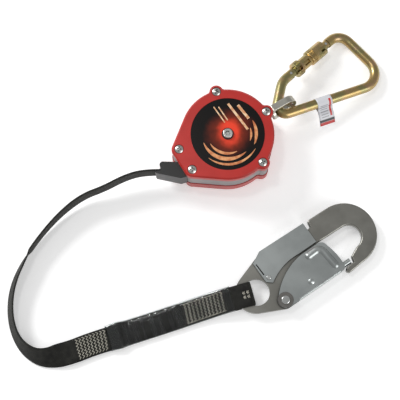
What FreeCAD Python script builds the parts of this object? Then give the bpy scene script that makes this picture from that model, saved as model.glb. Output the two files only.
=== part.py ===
import FreeCAD, Part

import math
import os

# A self retracting lifeline lying on its rear cover, in millimetres.
# Origin: the drum's axis at the flat rear face. +Z runs along the drum's axis towards
# the front cover, +X is to the right and +Y is up when the front cover is looked at.

# ---------------------------------------------------------------- driving dimensions

# Housing outline: a round case with three screw ears and a two-cornered webbing exit.
CASE_R = 50.0
CASE_WALL = 3.0
EAR_R = 7.4
EAR_INSET = 1.4
EAR_BLEND = 4.0
TOP_EAR_DEG = 104.3
LOW_EAR_DEG = -39.9
SHACKLE_DEG = 31.0
CORNER_R = 8.0
LEFT_CORNER_OUT = 4.55
LEFT_CORNER_DEG = 197.94
EXIT_CORNER_OUT = 4.38
EXIT_CORNER_DEG = 225.82

# Layers from the rear face to the front face.
FLOOR = 3.0
REAR_COVER_TOP = 17.0
FRONT_PARTING = 3.0
FRONT_ROOM = 4.2
COVER_CHAMFER = 1.6
BAND_INSET = 0.8
PLATE = 2.0
REAR_PLATE_Z = 10.4
FRONT_PLATE_T = 1.8

# Cover screws and what they screw into.
SCREW_R = 2.5
SCREW_HEAD_R = 4.8
SCREW_HEAD_H = 2.2
FRONT_HEAD_SINK = 1.0
REAR_HEAD_SINK = 2.5
SCREW_REACH = 6.0
BOSS_R = 5.2
SPACER_R = 4.0
CLINCH_NUT_H = 2.6
CROSS_W = 1.1
CROSS_L = 5.4
CROSS_DEEP = 1.4

# Drum, shaft and wound webbing.
SHAFT_R = 5.0
SHAFT_HEAD_R = 9.0
SHAFT_HEAD_H = 1.2
SHAFT_NECK_R = 4.1
HUB_SCREW_R = 3.0
HUB_SCREW_HEAD_R = 5.3
HUB_SCREW_HEAD_H = 2.6
HUB_SCREW_LENGTH = 16.0
HUB_WASHER_R = 6.4
HUB_WASHER_T = 0.8
BUSH_WALL = 2.0
BUSH_LENGTH = 9.0
DRUM_R = 38.0
DRUM_CORE_R = 13.0
DRUM_NECK_R = 10.0
FLANGE_T = 1.2
WEB_SIDE = 0.8
DRUM_Z = 12.8
COIL_R = 35.5
ANCHOR_PIN_R = 2.0
ANCHOR_PIN_AT_R = 10.2
SLEEVE_R = 8.5

# Power spring.
CUP_R = 34.0
CUP_WALL = 1.0
STRIP_T = 0.5
STRIP_W = 4.4
STRIP_PITCH = 1.6
ARBOR_R = 11.0
SPRING_TURNS = 12

# Ratchet brake.
RING_R = 40.0
TOOTH_ROOT_R = 37.0
TOOTH_TIP_R = 34.2
TEETH = 12
PAWL_T = 2.0
PAWL_PIN_R = 2.0
PAWL_AT_R = 22.0
PAWL_LENGTH = 22.6
PAWL_W = 6.0

# Labels.
DECAL_R = 39.5
LABEL_R = 29.5
LABEL_HOLE_R = 9.0
LABEL_T = 0.5

# Webbing.
WEB_W = 25.4
WEB_T = 2.0

# Webbing guide at the exit corner.
GUIDE_Y = -36.9
LIP_R = 3.6
LIP_AT = (-69.3, -31.7)
GUIDE_WALL = 1.0

# Swivel shackle.
SWIVEL_POST_R = 7.0
STUD_R = 3.5
STUD_HEAD_R = 5.5
STUD_HEAD_H = 3.0
LINK_T = 3.5
LINK_W = 8.0
LINK_ROOM = 3.8
LINK_OUT = 25.5
LINK_BASE_T = 3.0
LINK_BASE_R = 7.0
LINK_TILT_DEG = 12.0

# Carabiner, in its own plane: p away from the shackle, q towards the gate.
ROD_R = 5.5
CARABINER_HEADING_DEG = 35.75
CARABINER_HINGE = (36.4, 28.8)
CARABINER_NOSE = (101.0, 37.3)
CARABINER_CORNERS = [(116.5, 39.3), (127.5, -36.6), (-9.8, -2.4), (23.5, 27.1)]
CARABINER_BENDS = [15.0, 19.8, 9.0, 22.0]
GATE_ROD_R = 5.0
GATE_TONGUE_T = 4.0
GATE_PIN_R = 1.5
NOSE_GAP_AT = 60.0
NOSE_TONGUE_T = 3.6
NOSE_TONGUE_L = 7.0
COLLAR_R = 8.8
WAIST_R = 7.1
SLEEVE_GAP = 2.0
SLEEVE_WAIST = (16.0, 30.0)
SLEEVE_TO = 52.3
SLEEVE_TURN_DEG = 22.0
TAG_AT = 59.5
TAG_W = 18.0
TAG_T = 0.6
TAG_HANG = 20.5
TAG_DROOP_DEG = 31.0

# Snap hook, in its own plane: u along the hook, v towards its spine.
HOOK_EYE = (30.8, -165.0)
HOOK_DEG = 33.0
HOOK_PLATE = 8.0
HOOK_SHEET = 1.5
HOOK_EYE_ROOM = 1.8
HOOK_BAR_AT = 6.5
WEB_HEADING_DEG = 15.0
HOOK_GATE_PIVOT = (21.2, -24.0)
HOOK_RIVET_R = 3.2
HOOK_RIVET_HEAD_R = 4.7
HOOK_LEVER_PIVOT = (19.7, 6.0)
LEVER_PIN_R = 1.6

# Clearances.
RUNNING = 0.05
LOOSE = 0.3
SEAT = 0.2
REST_GAP = 0.3

# What follows from the sizes above: the ears' reach, the stack inside the case and the shackle.
EAR_AT_R = CASE_R - EAR_INSET
WEB_GAP = WEB_W + WEB_SIDE
DRUM_FRONT_Z = DRUM_Z + 2 * FLANGE_T + WEB_GAP
RATCHET_Z = DRUM_FRONT_Z + LOOSE
FRONT_PLATE_Z = RATCHET_Z + PAWL_T + LOOSE
FRONT_COVER_BASE = FRONT_PLATE_Z - FRONT_PARTING
CASE_DEPTH = FRONT_PLATE_Z + FRONT_PLATE_T + FRONT_ROOM
LINK_GAP = 2 * ROD_R + LINK_ROOM
LINK_REACH = CASE_R + LINK_OUT
SLEEVE_FROM = ROD_R + SLEEVE_GAP
HOOK_EYE_R = WEB_W / 2 + HOOK_EYE_ROOM

# The webbing's free route: its centre, from the guide's mouth to the hook's bar.
ROUTE = [
    (-73.0, -36.9, 27.1),
    (-91.0, -36.9, 27.1),
    (-111.5, -42.5, 24.6),
    (-133.5, -53.5, 21.0),
    (-156.5, -61.5, 18.0),
    (-179.5, -79.0, 15.5),
    (-200.5, -102.5, 13.6),
    (-218.0, -128.0, 12.6),
    (-231.5, -160.0, 12.4),
    (-232.0, -194.0, 12.4),
    (-221.0, -221.5, 12.3),
    (-199.0, -236.0, 10.8),
    (-171.0, -230.0, 4.3),
    (-145.0, -219.5, 3.8),
    (-110.0, -208.8, 3.8),
    (-76.0, -198.0, 3.8),
    (-42.0, -186.7, 3.8),
    (-21.0, -179.6, 4.6),
    (4.0, -171.9, 13.0),
    (25.0, -166.5, 13.1),
]
SEWN_FROM = 13
LEFTMOST = 9
FLAT_FROM_X = -190.0
FLAT_AT_X = -162.0
LAYER_STEP = WEB_T + 0.15
COVER_FROM_X = -127.5
COVER_TO_X = 5.0
COVER_WALL = 0.4


# ---------------------------------------------------------------- small helpers


def vec(x, y, z=0.0):
    return FreeCAD.Vector(x, y, z)


def polar(radius, degrees, z=0.0):
    a = math.radians(degrees)
    return vec(radius * math.cos(a), radius * math.sin(a), z)


def cyl(radius, z0, z1, at=(0.0, 0.0)):
    return Part.makeCylinder(radius, z1 - z0, vec(at[0], at[1], z0))


def ring(outer, inner, z0, z1, at=(0.0, 0.0)):
    return cyl(outer, z0, z1, at).cut(cyl(inner, z0 - 1, z1 + 1, at))


def block(x0, x1, y0, y1, z0, z1):
    return Part.makeBox(x1 - x0, y1 - y0, z1 - z0, vec(x0, y0, z0))


def prism(wire, z0, z1):
    """The face inside a wire drawn at height 0, from z0 up to z1."""
    face = Part.Face(wire)
    face.translate(vec(0, 0, z0))
    return face.extrude(vec(0, 0, z1 - z0))


def outline(start, steps):
    """A closed wire: each step is an end point, or a pair of an arc's middle and end."""
    edges = []
    here = vec(*start)
    for step in steps:
        if isinstance(step[0], tuple):
            end = vec(*step[1])
            edges.append(Part.Arc(here, vec(*step[0]), end).toShape())
        else:
            end = vec(*step)
            edges.append(Part.LineSegment(here, end).toShape())
        here = end
    if (here - vec(*start)).Length > 1e-6:
        edges.append(Part.LineSegment(here, vec(*start)).toShape())
    return Part.Wire(edges)


def polygon(points):
    return Part.makePolygon([vec(*p) for p in points] + [vec(*points[0])])


def joined(shapes):
    first, rest = shapes[0], shapes[1:]
    solid = first.fuse(rest) if rest else first
    return solid.removeSplitter()


def group(shapes):
    return Part.makeCompound(shapes)


def rounded_path(points, radii):
    """Straight runs between the points, joined at each inner point by a tangent arc."""
    edges = []
    here = points[0]
    for i in range(1, len(points) - 1):
        back = (points[i - 1] - points[i]).normalize()
        ahead = (points[i + 1] - points[i]).normalize()
        half_turn = (math.pi - back.getAngle(ahead)) / 2
        reach = radii[i - 1] * math.tan(half_turn)
        start = points[i] + back * reach
        end = points[i] + ahead * reach
        centre_way = (back + ahead).normalize()
        to_middle = radii[i - 1] * (1 / math.cos(half_turn) - 1)
        edges.append(Part.LineSegment(here, start).toShape())
        edges.append(Part.Arc(start, points[i] + centre_way * to_middle, end).toShape())
        here = end
    edges.append(Part.LineSegment(here, points[-1]).toShape())
    return edges


def helix(radius, wire_r, pitch, height, z0):
    path = Part.makeHelix(pitch, height, radius)
    section = Part.Wire(Part.makeCircle(wire_r, vec(radius, 0, 0), vec(0, 1, 0)))
    solid = Part.Wire(path).makePipeShell([section], True, True)
    solid.translate(vec(0, 0, z0))
    return solid


def save(name, shape):
    solids = shape.Solids
    if not solids or not shape.isValid():
        raise ValueError("bad shape: " + name)
    keep = solids[0] if len(solids) == 1 else Part.makeCompound(solids)
    keep.exportStep("parts/" + name + ".step")
    print(name, len(solids), round(sum(s.Volume for s in solids), 1))


# ---------------------------------------------------------------- housing outline


def tangent_pair(c1, r1, c2, r2):
    """Where the outer tangent line touches two circles, for a turn made anticlockwise."""
    way = c2 - c1
    span = way.Length
    way = way * (1 / span)
    right = vec(way.y, -way.x)
    along = (r1 - r2) / span
    normal = way * along + right * math.sqrt(1 - along * along)
    return c1 + normal * r1, c2 + normal * r2


def case_wire(grow):
    """The case's outline, moved outwards by grow."""
    case_r, ear_r, corner_r, blend = CASE_R + grow, EAR_R + grow, CORNER_R + grow, EAR_BLEND - grow
    left, exit_c, middle = vec(*LEFT_CORNER), vec(*EXIT_CORNER), vec(0, 0)
    case_to_left, left_in = tangent_pair(middle, case_r, left, corner_r)
    left_out, exit_in = tangent_pair(left, corner_r, exit_c, corner_r)
    exit_out, case_in = tangent_pair(exit_c, corner_r, middle, case_r)

    edges = []
    here = case_in
    for ear_deg in (LOW_EAR_DEG, SHACKLE_DEG, TOP_EAR_DEG):
        near, far = case_r + blend, ear_r + blend
        swing = (near**2 + EAR_AT_R**2 - far**2) / (2 * near * EAR_AT_R)
        spread = math.degrees(math.acos(swing))
        ear = polar(EAR_AT_R, ear_deg)
        stops = []
        for side in (-1, 1):
            centre = polar(near, ear_deg + side * spread)
            on_case = polar(case_r, ear_deg + side * spread)
            on_ear = ear + (centre - ear).normalize() * ear_r
            halfway = ((on_case + on_ear) * 0.5 - centre).normalize()
            stops.append((on_case, centre + halfway * blend, on_ear))
        first, second = stops
        here_deg = math.degrees(math.atan2(here.y, here.x))
        next_deg = math.degrees(math.atan2(first[0].y, first[0].x))
        edges.append(Part.Arc(here, polar(case_r, (here_deg + next_deg) / 2), first[0]).toShape())
        edges.append(Part.Arc(first[0], first[1], first[2]).toShape())
        edges.append(Part.Arc(first[2], polar(EAR_AT_R + ear_r, ear_deg), second[2]).toShape())
        edges.append(Part.Arc(second[2], second[1], second[0]).toShape())
        here = second[0]
    here_deg = math.degrees(math.atan2(here.y, here.x))
    next_deg = math.degrees(math.atan2(case_to_left.y, case_to_left.x))
    edges.append(Part.Arc(here, polar(case_r, (here_deg + next_deg) / 2), case_to_left).toShape())
    edges.append(Part.LineSegment(case_to_left, left_in).toShape())
    left_mid = left + ((left_in + left_out) * 0.5 - left).normalize() * corner_r
    edges.append(Part.Arc(left_in, left_mid, left_out).toShape())
    edges.append(Part.LineSegment(left_out, exit_in).toShape())
    exit_mid = exit_c + ((exit_in + exit_out) * 0.5 - exit_c).normalize() * corner_r
    edges.append(Part.Arc(exit_in, exit_mid, exit_out).toShape())
    edges.append(Part.LineSegment(exit_out, case_in).toShape())
    return Part.Wire(edges)


def case_prism(grow, z0, z1):
    return prism(case_wire(grow), z0, z1)


def chamfered_case(z0, z1, at_top):
    """A slice of the case whose outer edge is bevelled at one end."""
    body = case_prism(0, z0, z1)
    level = z1 if at_top else z0
    edges = [e for e in body.Edges if all(abs(v.Z - level) < 1e-6 for v in e.Vertexes)]
    return body.makeChamfer(COVER_CHAMFER, edges)


TOP_EAR = tuple(polar(EAR_AT_R, TOP_EAR_DEG))[:2]
LEFT_CORNER = tuple(polar(CASE_R + LEFT_CORNER_OUT, LEFT_CORNER_DEG))[:2]
EXIT_CORNER = tuple(polar(CASE_R + EXIT_CORNER_OUT, EXIT_CORNER_DEG))[:2]
LOW_EAR = tuple(polar(EAR_AT_R, LOW_EAR_DEG))[:2]
SHACKLE_EAR = tuple(polar(EAR_AT_R, SHACKLE_DEG))[:2]
SPACER_EARS = [TOP_EAR, LOW_EAR, LEFT_CORNER]
SCREW_EARS = SPACER_EARS + [SHACKLE_EAR, EXIT_CORNER]

REAR_PLATE_TOP = REAR_PLATE_Z + PLATE
FRONT_PLATE_TOP = FRONT_PLATE_Z + FRONT_PLATE_T
CEILING = CASE_DEPTH - FLOOR
DRUM_TOP = DRUM_Z + 2 * FLANGE_T + WEB_GAP
WEB_MID_Z = DRUM_Z + FLANGE_T + WEB_GAP / 2 + 0.0
SWIVEL_Z = (REAR_PLATE_TOP + FRONT_PLATE_Z) / 2
BUSH_R = SHAFT_R + BUSH_WALL
SCREW_HOLE_R = SCREW_R + SEAT
THREAD_R = SCREW_R + RUNNING


# ---------------------------------------------------------------- webbing guide


def guide_body(grow):
    """Two tapered lips either side of the webbing, closed above and below it."""
    lip_top = LIP_AT[1] + LIP_R + grow
    half = WEB_T / 2 + GUIDE_WALL
    upper = [
        (-43.0, lip_top - 0.8),
        (LIP_AT[0], lip_top),
        (LIP_AT[0], GUIDE_Y + half - grow),
        (-43.0, GUIDE_Y + half - grow),
    ]
    lower = [
        (-43.0, GUIDE_Y - half + 4.0),
        (-76.6 - grow, GUIDE_Y - half + 0.6),
        (-77.4 - grow, GUIDE_Y - half - 1.0),
        (-76.4 - grow, GUIDE_Y - half - 2.0 - grow),
        (-50.0, -46.6 - grow),
        (-43.0, -44.5 - grow),
    ]
    middle = [(-43.0, -31.0), (-70.5, -31.0), (-72.5, -41.0), (-43.0, -43.0)]
    z0, z1 = DRUM_Z + 0.1 - grow, FRONT_COVER_BASE - 0.1 + grow
    parts = [prism(polygon(p), z0, z1) for p in (upper, lower, middle)]
    parts.append(cyl(LIP_R + grow, z0, z1, LIP_AT))
    return joined(parts)


def web_guide():
    half_z = WEB_W / 2 + LOOSE
    mid_z = ROUTE[0][2]
    channel = block(-80, -42, GUIDE_Y - 1.3, GUIDE_Y + 1.3, mid_z - half_z, mid_z + half_z)
    return guide_body(0).cut(channel)


# ---------------------------------------------------------------- covers and frame


def front_cover():
    cover = chamfered_case(FRONT_COVER_BASE, CASE_DEPTH, True)
    cover = cover.cut(case_prism(-CASE_WALL, FRONT_COVER_BASE - 1, CEILING))
    bosses = [cyl(BOSS_R, FRONT_PLATE_TOP, CEILING + 1, at) for at in SCREW_EARS]
    inside = case_prism(-CASE_WALL / 2, FRONT_COVER_BASE, CASE_DEPTH)
    cover = cover.fuse([b.common(inside) for b in bosses])
    cuts = [cyl(SCREW_HOLE_R, FRONT_COVER_BASE - 1, CASE_DEPTH + 1, at) for at in SCREW_EARS]
    cuts += [cyl(SCREW_HEAD_R + SEAT, CASE_DEPTH - FRONT_HEAD_SINK, 60, at) for at in SCREW_EARS]
    cuts.append(cyl(DECAL_R + SEAT, CASE_DEPTH - LABEL_T - SEAT, 60))
    cuts.append(cyl(HUB_SCREW_R + SEAT, FRONT_COVER_BASE, 60))
    return cover.cut(cuts).removeSplitter()


def rear_cover():
    cover = chamfered_case(0, REAR_COVER_TOP, False)
    cover = cover.cut(case_prism(-CASE_WALL, FLOOR, REAR_COVER_TOP + 1))
    bosses = []
    for at in SCREW_EARS:
        nut_room = CLINCH_NUT_H + SEAT if at == EXIT_CORNER else 0
        bosses.append(cyl(BOSS_R, FLOOR - 1, REAR_PLATE_Z - nut_room, at))
    inside = case_prism(-CASE_WALL / 2, 0, REAR_COVER_TOP)
    cover = cover.fuse([b.common(inside) for b in bosses])
    rib = ring(CUP_R - CUP_WALL, CUP_R - 3 * CUP_WALL, FLOOR - 1, FLOOR + SHAFT_HEAD_H)
    cover = cover.fuse(rib)
    cuts = [cyl(SCREW_HOLE_R, -1, REAR_COVER_TOP, at) for at in SCREW_EARS]
    cuts += [cyl(SCREW_HEAD_R + SEAT, -1, REAR_HEAD_SINK, at) for at in SCREW_EARS]
    cuts.append(ring(LABEL_R + SEAT, LABEL_HOLE_R - SEAT, -1, LABEL_T))
    cuts.append(guide_body(SEAT))
    return cover.cut(cuts).removeSplitter()


def centre_frame():
    band = case_prism(-BAND_INSET, REAR_COVER_TOP, FRONT_COVER_BASE)
    band = band.cut(case_prism(-CASE_WALL - SEAT, REAR_COVER_TOP - 1, FRONT_COVER_BASE + 1))
    post_hole = cyl(SWIVEL_POST_R + LOOSE, REAR_COVER_TOP - 1, FRONT_COVER_BASE + 1, SHACKLE_EAR)
    return band.cut([post_hole, guide_body(SEAT)]).removeSplitter()


def side_plate(z0, z1, bore):
    plate = case_prism(-CASE_WALL - LOOSE, z0, z1)
    holes = [cyl(SCREW_HOLE_R, z0 - 1, z1 + 1, at) for at in SCREW_EARS]
    holes.append(cyl(bore, z0 - 1, z1 + 1))
    return plate.cut(holes)


def spacers():
    posts = []
    for at in SPACER_EARS:
        post = cyl(SPACER_R, REAR_PLATE_TOP, FRONT_PLATE_Z, at)
        low = cyl(THREAD_R, REAR_PLATE_TOP - 1, REAR_PLATE_TOP + SCREW_REACH + 1, at)
        high = cyl(THREAD_R, FRONT_PLATE_Z - SCREW_REACH - 1, FRONT_PLATE_Z + 1, at)
        posts.append(post.cut([low, high]))
    return group(posts)


def clinch_nuts():
    low = ring(SPACER_R, THREAD_R, REAR_PLATE_Z - CLINCH_NUT_H, REAR_PLATE_Z, EXIT_CORNER)
    high = ring(SPACER_R, THREAD_R, FRONT_PLATE_Z - CLINCH_NUT_H, FRONT_PLATE_Z, EXIT_CORNER)
    return group([low, high])


def cross_head(at, z_seat, up):
    """A domed screw head with a cross recess, standing on z_seat."""
    dome_r = (SCREW_HEAD_R**2 + SCREW_HEAD_H**2) / (2 * SCREW_HEAD_H) * 1.15
    head = cyl(SCREW_HEAD_R, 0, SCREW_HEAD_H)
    dome = Part.makeSphere(dome_r, vec(0, 0, SCREW_HEAD_H - dome_r))
    head = head.common(dome)
    top = SCREW_HEAD_H
    half_w, half_l = CROSS_W / 2, CROSS_L / 2
    cross = block(-half_l, half_l, -half_w, half_w, top - CROSS_DEEP, top + 1)
    cross = cross.fuse(block(-half_w, half_w, -half_l, half_l, top - CROSS_DEEP, top + 1))
    head = head.cut(cross)
    if not up:
        head.rotate(vec(0, 0, 0), vec(1, 0, 0), 180)
    head.rotate(vec(0, 0, 0), vec(0, 0, 1), 17.0 * (at[0] - at[1]) / CASE_R)
    head.translate(vec(at[0], at[1], z_seat))
    return head


def front_cover_screws():
    seat = CASE_DEPTH - FRONT_HEAD_SINK
    screws = []
    for at in SCREW_EARS:
        tip = FRONT_PLATE_Z - (CLINCH_NUT_H if at == EXIT_CORNER else SCREW_REACH)
        screws.append(joined([cross_head(at, seat, True), cyl(SCREW_R, tip, seat + 0.5, at)]))
    return group(screws)


def rear_cover_screws():
    screws = []
    for at in SCREW_EARS:
        tip = REAR_PLATE_Z if at == EXIT_CORNER else REAR_PLATE_TOP + SCREW_REACH
        screws.append(
            joined([cross_head(at, REAR_HEAD_SINK, False), cyl(SCREW_R, REAR_HEAD_SINK - 0.5, tip, at)])
        )
    return group(screws)


# ---------------------------------------------------------------- drum and shaft


def main_shaft():
    shaft = cyl(SHAFT_R, FLOOR, FRONT_PLATE_Z)
    shaft = shaft.fuse(cyl(SHAFT_HEAD_R, FLOOR, FLOOR + SHAFT_HEAD_H))
    shaft = shaft.fuse(cyl(SHAFT_NECK_R, FRONT_PLATE_Z - 1, FRONT_PLATE_TOP))
    hole = cyl(HUB_SCREW_R + RUNNING, CASE_DEPTH - HUB_SCREW_LENGTH - 2, CASE_DEPTH)
    return shaft.cut(hole).removeSplitter()


def hub_seat():
    return CASE_DEPTH - SEAT


def hub_washer():
    low = hub_seat()
    return ring(HUB_WASHER_R, HUB_SCREW_R + SEAT, low, low + HUB_WASHER_T)


def hub_screw():
    low = hub_seat() + HUB_WASHER_T
    head = cyl(HUB_SCREW_HEAD_R, low, low + HUB_SCREW_HEAD_H)
    rim = [e for e in head.Edges if abs(e.BoundBox.ZMin - low - HUB_SCREW_HEAD_H) < 1e-6]
    head = head.makeFillet(0.9, rim)
    socket_r = HUB_SCREW_HEAD_R * 0.55
    socket = polygon([tuple(polar(socket_r, 60 * k))[:2] for k in range(6)])
    head = head.cut(prism(socket, low + 0.8, low + HUB_SCREW_HEAD_H + 1))
    shank = cyl(HUB_SCREW_R, CASE_DEPTH - HUB_SCREW_LENGTH, low)
    return joined([head, shank])


def drum():
    body = cyl(DRUM_CORE_R, DRUM_Z, DRUM_TOP - FLANGE_T)
    body = body.fuse(cyl(DRUM_NECK_R, DRUM_Z, DRUM_TOP))
    body = body.fuse(cyl(DRUM_R, DRUM_Z, DRUM_Z + FLANGE_T))
    body = body.fuse(cyl(SLEEVE_R, SPRING_Z - 0.2, DRUM_Z + 1))
    body = body.cut(cyl(BUSH_R, 0, DRUM_TOP + 1))
    pocket_z = DRUM_Z + FLANGE_T
    pin_hole = cyl(ANCHOR_PIN_R, pocket_z, DRUM_TOP - FLANGE_T, (ANCHOR_PIN_AT_R, 0))
    return body.cut(pin_hole).removeSplitter()


def drum_front_flange():
    disc = ring(DRUM_R, DRUM_NECK_R, DRUM_TOP - FLANGE_T, DRUM_TOP)
    pin_holes = [cyl(PAWL_PIN_R, 0, 60, at) for at in pawl_pivots()]
    ports = [cyl(4.0, 0, 60, tuple(polar(PAWL_AT_R, 90 + 180 * k))[:2]) for k in range(2)]
    return disc.cut(pin_holes + ports)


def drum_bushes():
    low_z = SPRING_Z - 0.2
    low = ring(BUSH_R, SHAFT_R + RUNNING, low_z, low_z + BUSH_LENGTH)
    high = ring(BUSH_R, SHAFT_R + RUNNING, DRUM_TOP - BUSH_LENGTH, DRUM_TOP)
    return group([low, high])


def wound_webbing():
    z0 = DRUM_Z + FLANGE_T + (WEB_GAP - WEB_W) / 2
    return ring(COIL_R, DRUM_CORE_R, z0, z0 + WEB_W)


def webbing_lead():
    """The stretch of webbing between the wound coil and the guide's mouth."""
    mid_z = ROUTE[0][2]
    half = WEB_T / 2
    lead = block(ROUTE[0][0], -6.0, GUIDE_Y - half, GUIDE_Y + half, mid_z - WEB_W / 2, mid_z + WEB_W / 2)
    return lead.cut(cyl(COIL_R + LOOSE, 0, 60))


# ---------------------------------------------------------------- power spring

SPRING_Z = FLOOR + SHAFT_HEAD_H + CUP_WALL + LOOSE


def spring_cup():
    base_z = FLOOR + SHAFT_HEAD_H
    cup = cyl(CUP_R, base_z, REAR_PLATE_Z)
    cup = cup.cut(cyl(CUP_R - CUP_WALL, base_z + CUP_WALL, REAR_PLATE_Z + 1))
    return cup.cut(cyl(SHAFT_R + RUNNING, base_z - 1, REAR_PLATE_Z))


def spring_arbor():
    body = ring(ARBOR_R, SLEEVE_R, SPRING_Z - 0.1, SPRING_Z + STRIP_W)
    return body.cut(block(ARBOR_R - 1.2, ARBOR_R + 1, -1.0, 1.0, 0, 20))


def power_spring():
    """A flat strip coiled in half turns whose centres step from side to side."""
    side = STRIP_PITCH / 4
    outer_edges, inner_edges = [], []
    radius = ARBOR_R + LOOSE + STRIP_T / 2 + side
    for k in range(2 * SPRING_TURNS):
        sign = 1 if k % 2 == 0 else -1
        centre = vec(sign * side, 0)
        for edges, r in ((outer_edges, radius + STRIP_T / 2), (inner_edges, radius - STRIP_T / 2)):
            start = centre + vec(sign * -r, 0)
            top = centre + vec(0, sign * r)
            end = centre + vec(sign * r, 0)
            edges.append(Part.Arc(start, top, end).toShape())
        radius += STRIP_PITCH / 2
    first = Part.LineSegment(outer_edges[0].valueAt(outer_edges[0].FirstParameter),
                             inner_edges[0].valueAt(inner_edges[0].FirstParameter)).toShape()
    last = Part.LineSegment(outer_edges[-1].valueAt(outer_edges[-1].LastParameter),
                            inner_edges[-1].valueAt(inner_edges[-1].LastParameter)).toShape()
    wire = Part.Wire(Part.__sortEdges__(outer_edges + inner_edges + [first, last]))
    return prism(wire, SPRING_Z, SPRING_Z + STRIP_W)


# ---------------------------------------------------------------- ratchet brake


def pawl_pivots():
    return [tuple(polar(PAWL_AT_R, 180 * k))[:2] for k in range(2)]


def pawl_pins():
    return group([cyl(PAWL_PIN_R, DRUM_TOP - FLANGE_T, RATCHET_Z + PAWL_T, at) for at in pawl_pivots()])


def ratchet_ring():
    """A ring with inward teeth, flat on the side that stops the webbing paying out."""
    pitch = 360.0 / TEETH
    start_deg = -42.0
    points = []
    for k in range(TEETH):
        a = start_deg + k * pitch
        points.append(tuple(polar(TOOTH_TIP_R, a))[:2])
        points.append(tuple(polar(TOOTH_ROOT_R, a + 0.6))[:2])
        points.append(tuple(polar(TOOTH_ROOT_R, a + pitch * 0.45))[:2])
    body = cyl(RING_R, RATCHET_Z, FRONT_PLATE_Z)
    return body.cut(prism(polygon(points), RATCHET_Z - 1, FRONT_PLATE_Z + 1))


def pawl(index):
    """An arm from its pivot to a tip that lies just inside the teeth at rest."""
    half = PAWL_W / 2
    tip = outline(
        (0, half),
        [((-half, 0), (0, -half)), (3.0, -half), (PAWL_LENGTH, -1.6), (PAWL_LENGTH, 1.0), (3.0, half)],
    )
    arm = prism(tip, RATCHET_Z, RATCHET_Z + PAWL_T)
    arm = arm.cut(cyl(PAWL_PIN_R + RUNNING, 0, 60))
    arm.rotate(vec(0, 0, 0), vec(0, 0, 1), -86.0)
    arm.translate(vec(PAWL_AT_R, 0, 0))
    arm.rotate(vec(0, 0, 0), vec(0, 0, 1), 180.0 * index)
    return arm


def pawl_springs():
    """A bent leaf behind each pawl, standing on the drum's front flange."""
    leaves = []
    for k in range(2):
        leaf = block(-5.4, -4.9, -20.0, -8.0, DRUM_TOP, DRUM_TOP + PAWL_T)
        foot = block(-7.4, -4.9, -20.5, -20.0, DRUM_TOP, DRUM_TOP + PAWL_T)
        leaf = joined([leaf, foot])
        leaf.translate(vec(PAWL_AT_R, 0, 0))
        leaf.rotate(vec(0, 0, 0), vec(0, 0, 1), 180.0 * k)
        leaves.append(leaf)
    return group(leaves)


# ---------------------------------------------------------------- swivel shackle


def along_swivel(shape):
    """Places a shape drawn along +Z so that +Z points out along the swivel's axis."""
    shape.rotate(vec(0, 0, 0), vec(0, 1, 0), 90)
    shape.rotate(vec(0, 0, 0), vec(1, 0, 0), -LINK_TILT_DEG)
    shape.rotate(vec(0, 0, 0), vec(0, 0, 1), SHACKLE_DEG)
    shape.translate(vec(0, 0, SWIVEL_Z))
    return shape


LINK_BASE_FROM = EAR_AT_R + EAR_R + 0.4
LINK_BASE_TO = LINK_BASE_FROM + LINK_BASE_T
TUBE_AT_R = LINK_BASE_TO + ROD_R + 0.7
TUBE_ASIDE = 3.3


def swivel_post():
    neck = 0.3
    body = cyl(SWIVEL_POST_R, REAR_COVER_TOP + neck, FRONT_COVER_BASE - neck, SHACKLE_EAR)
    body = body.fuse(cyl(SPACER_R, REAR_PLATE_TOP, FRONT_PLATE_Z, SHACKLE_EAR))
    low = cyl(THREAD_R, REAR_PLATE_TOP - 1, REAR_PLATE_TOP + SCREW_REACH + 1, SHACKLE_EAR)
    high = cyl(THREAD_R, FRONT_PLATE_Z - SCREW_REACH - 1, FRONT_PLATE_Z + 1, SHACKLE_EAR)
    bore = along_swivel(cyl(STUD_R + RUNNING, 0, 2 * CASE_R))
    return body.cut([low, high, bore]).removeSplitter()


def swivel_stud():
    inner = EAR_AT_R - SWIVEL_POST_R - SEAT
    head = cyl(STUD_HEAD_R, inner - STUD_HEAD_H, inner)
    shank = cyl(STUD_R, inner - 1, LINK_BASE_TO + 0.3)
    return along_swivel(joined([head, shank]))


def shackle_link():
    """A closed strap loop with a round base that the stud is riveted into."""
    inner, outer = LINK_GAP / 2, LINK_GAP / 2 + LINK_T

    def loop(half, base):
        return outline(
            (base, -half), [(LINK_REACH, -half), ((LINK_REACH + half, 0), (LINK_REACH, half)), (base, half)]
        )

    strap = prism(loop(outer, LINK_BASE_FROM), -LINK_W / 2, LINK_W / 2)
    strap = strap.cut(prism(loop(inner, LINK_BASE_TO), -LINK_W, LINK_W))
    corners = [
        e
        for e in strap.Edges
        if abs(e.BoundBox.XMax - LINK_BASE_FROM) < 1e-6 and e.BoundBox.ZLength > LINK_W - 0.01
    ]
    strap = strap.makeFillet(2.5, corners)
    rims = [e for e in strap.Edges if abs(e.BoundBox.ZLength) < 1e-6]
    strap = strap.makeFillet(0.7, rims)
    # from length along +X, gap along Y and width along Z to length along +Z and gap along X
    strap.rotate(vec(0, 0, 0), vec(0, 1, 0), -90)
    strap.rotate(vec(0, 0, 0), vec(0, 0, 1), 90)
    base = cyl(LINK_BASE_R, LINK_BASE_FROM, LINK_BASE_TO)
    body = strap.fuse(base).cut(cyl(STUD_R, 0, 2 * CASE_R))
    return along_swivel(body.removeSplitter())


# ---------------------------------------------------------------- carabiner


def corner_arc(back, corner, ahead, radius):
    """The centre of the arc that rounds a corner of the carabiner's centreline."""
    to_back = (vec(*back) - vec(*corner)).normalize()
    to_ahead = (vec(*ahead) - vec(*corner)).normalize()
    half = to_back.getAngle(to_ahead) / 2
    return vec(*corner) + (to_back + to_ahead).normalize() * (radius / math.sin(half))


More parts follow.
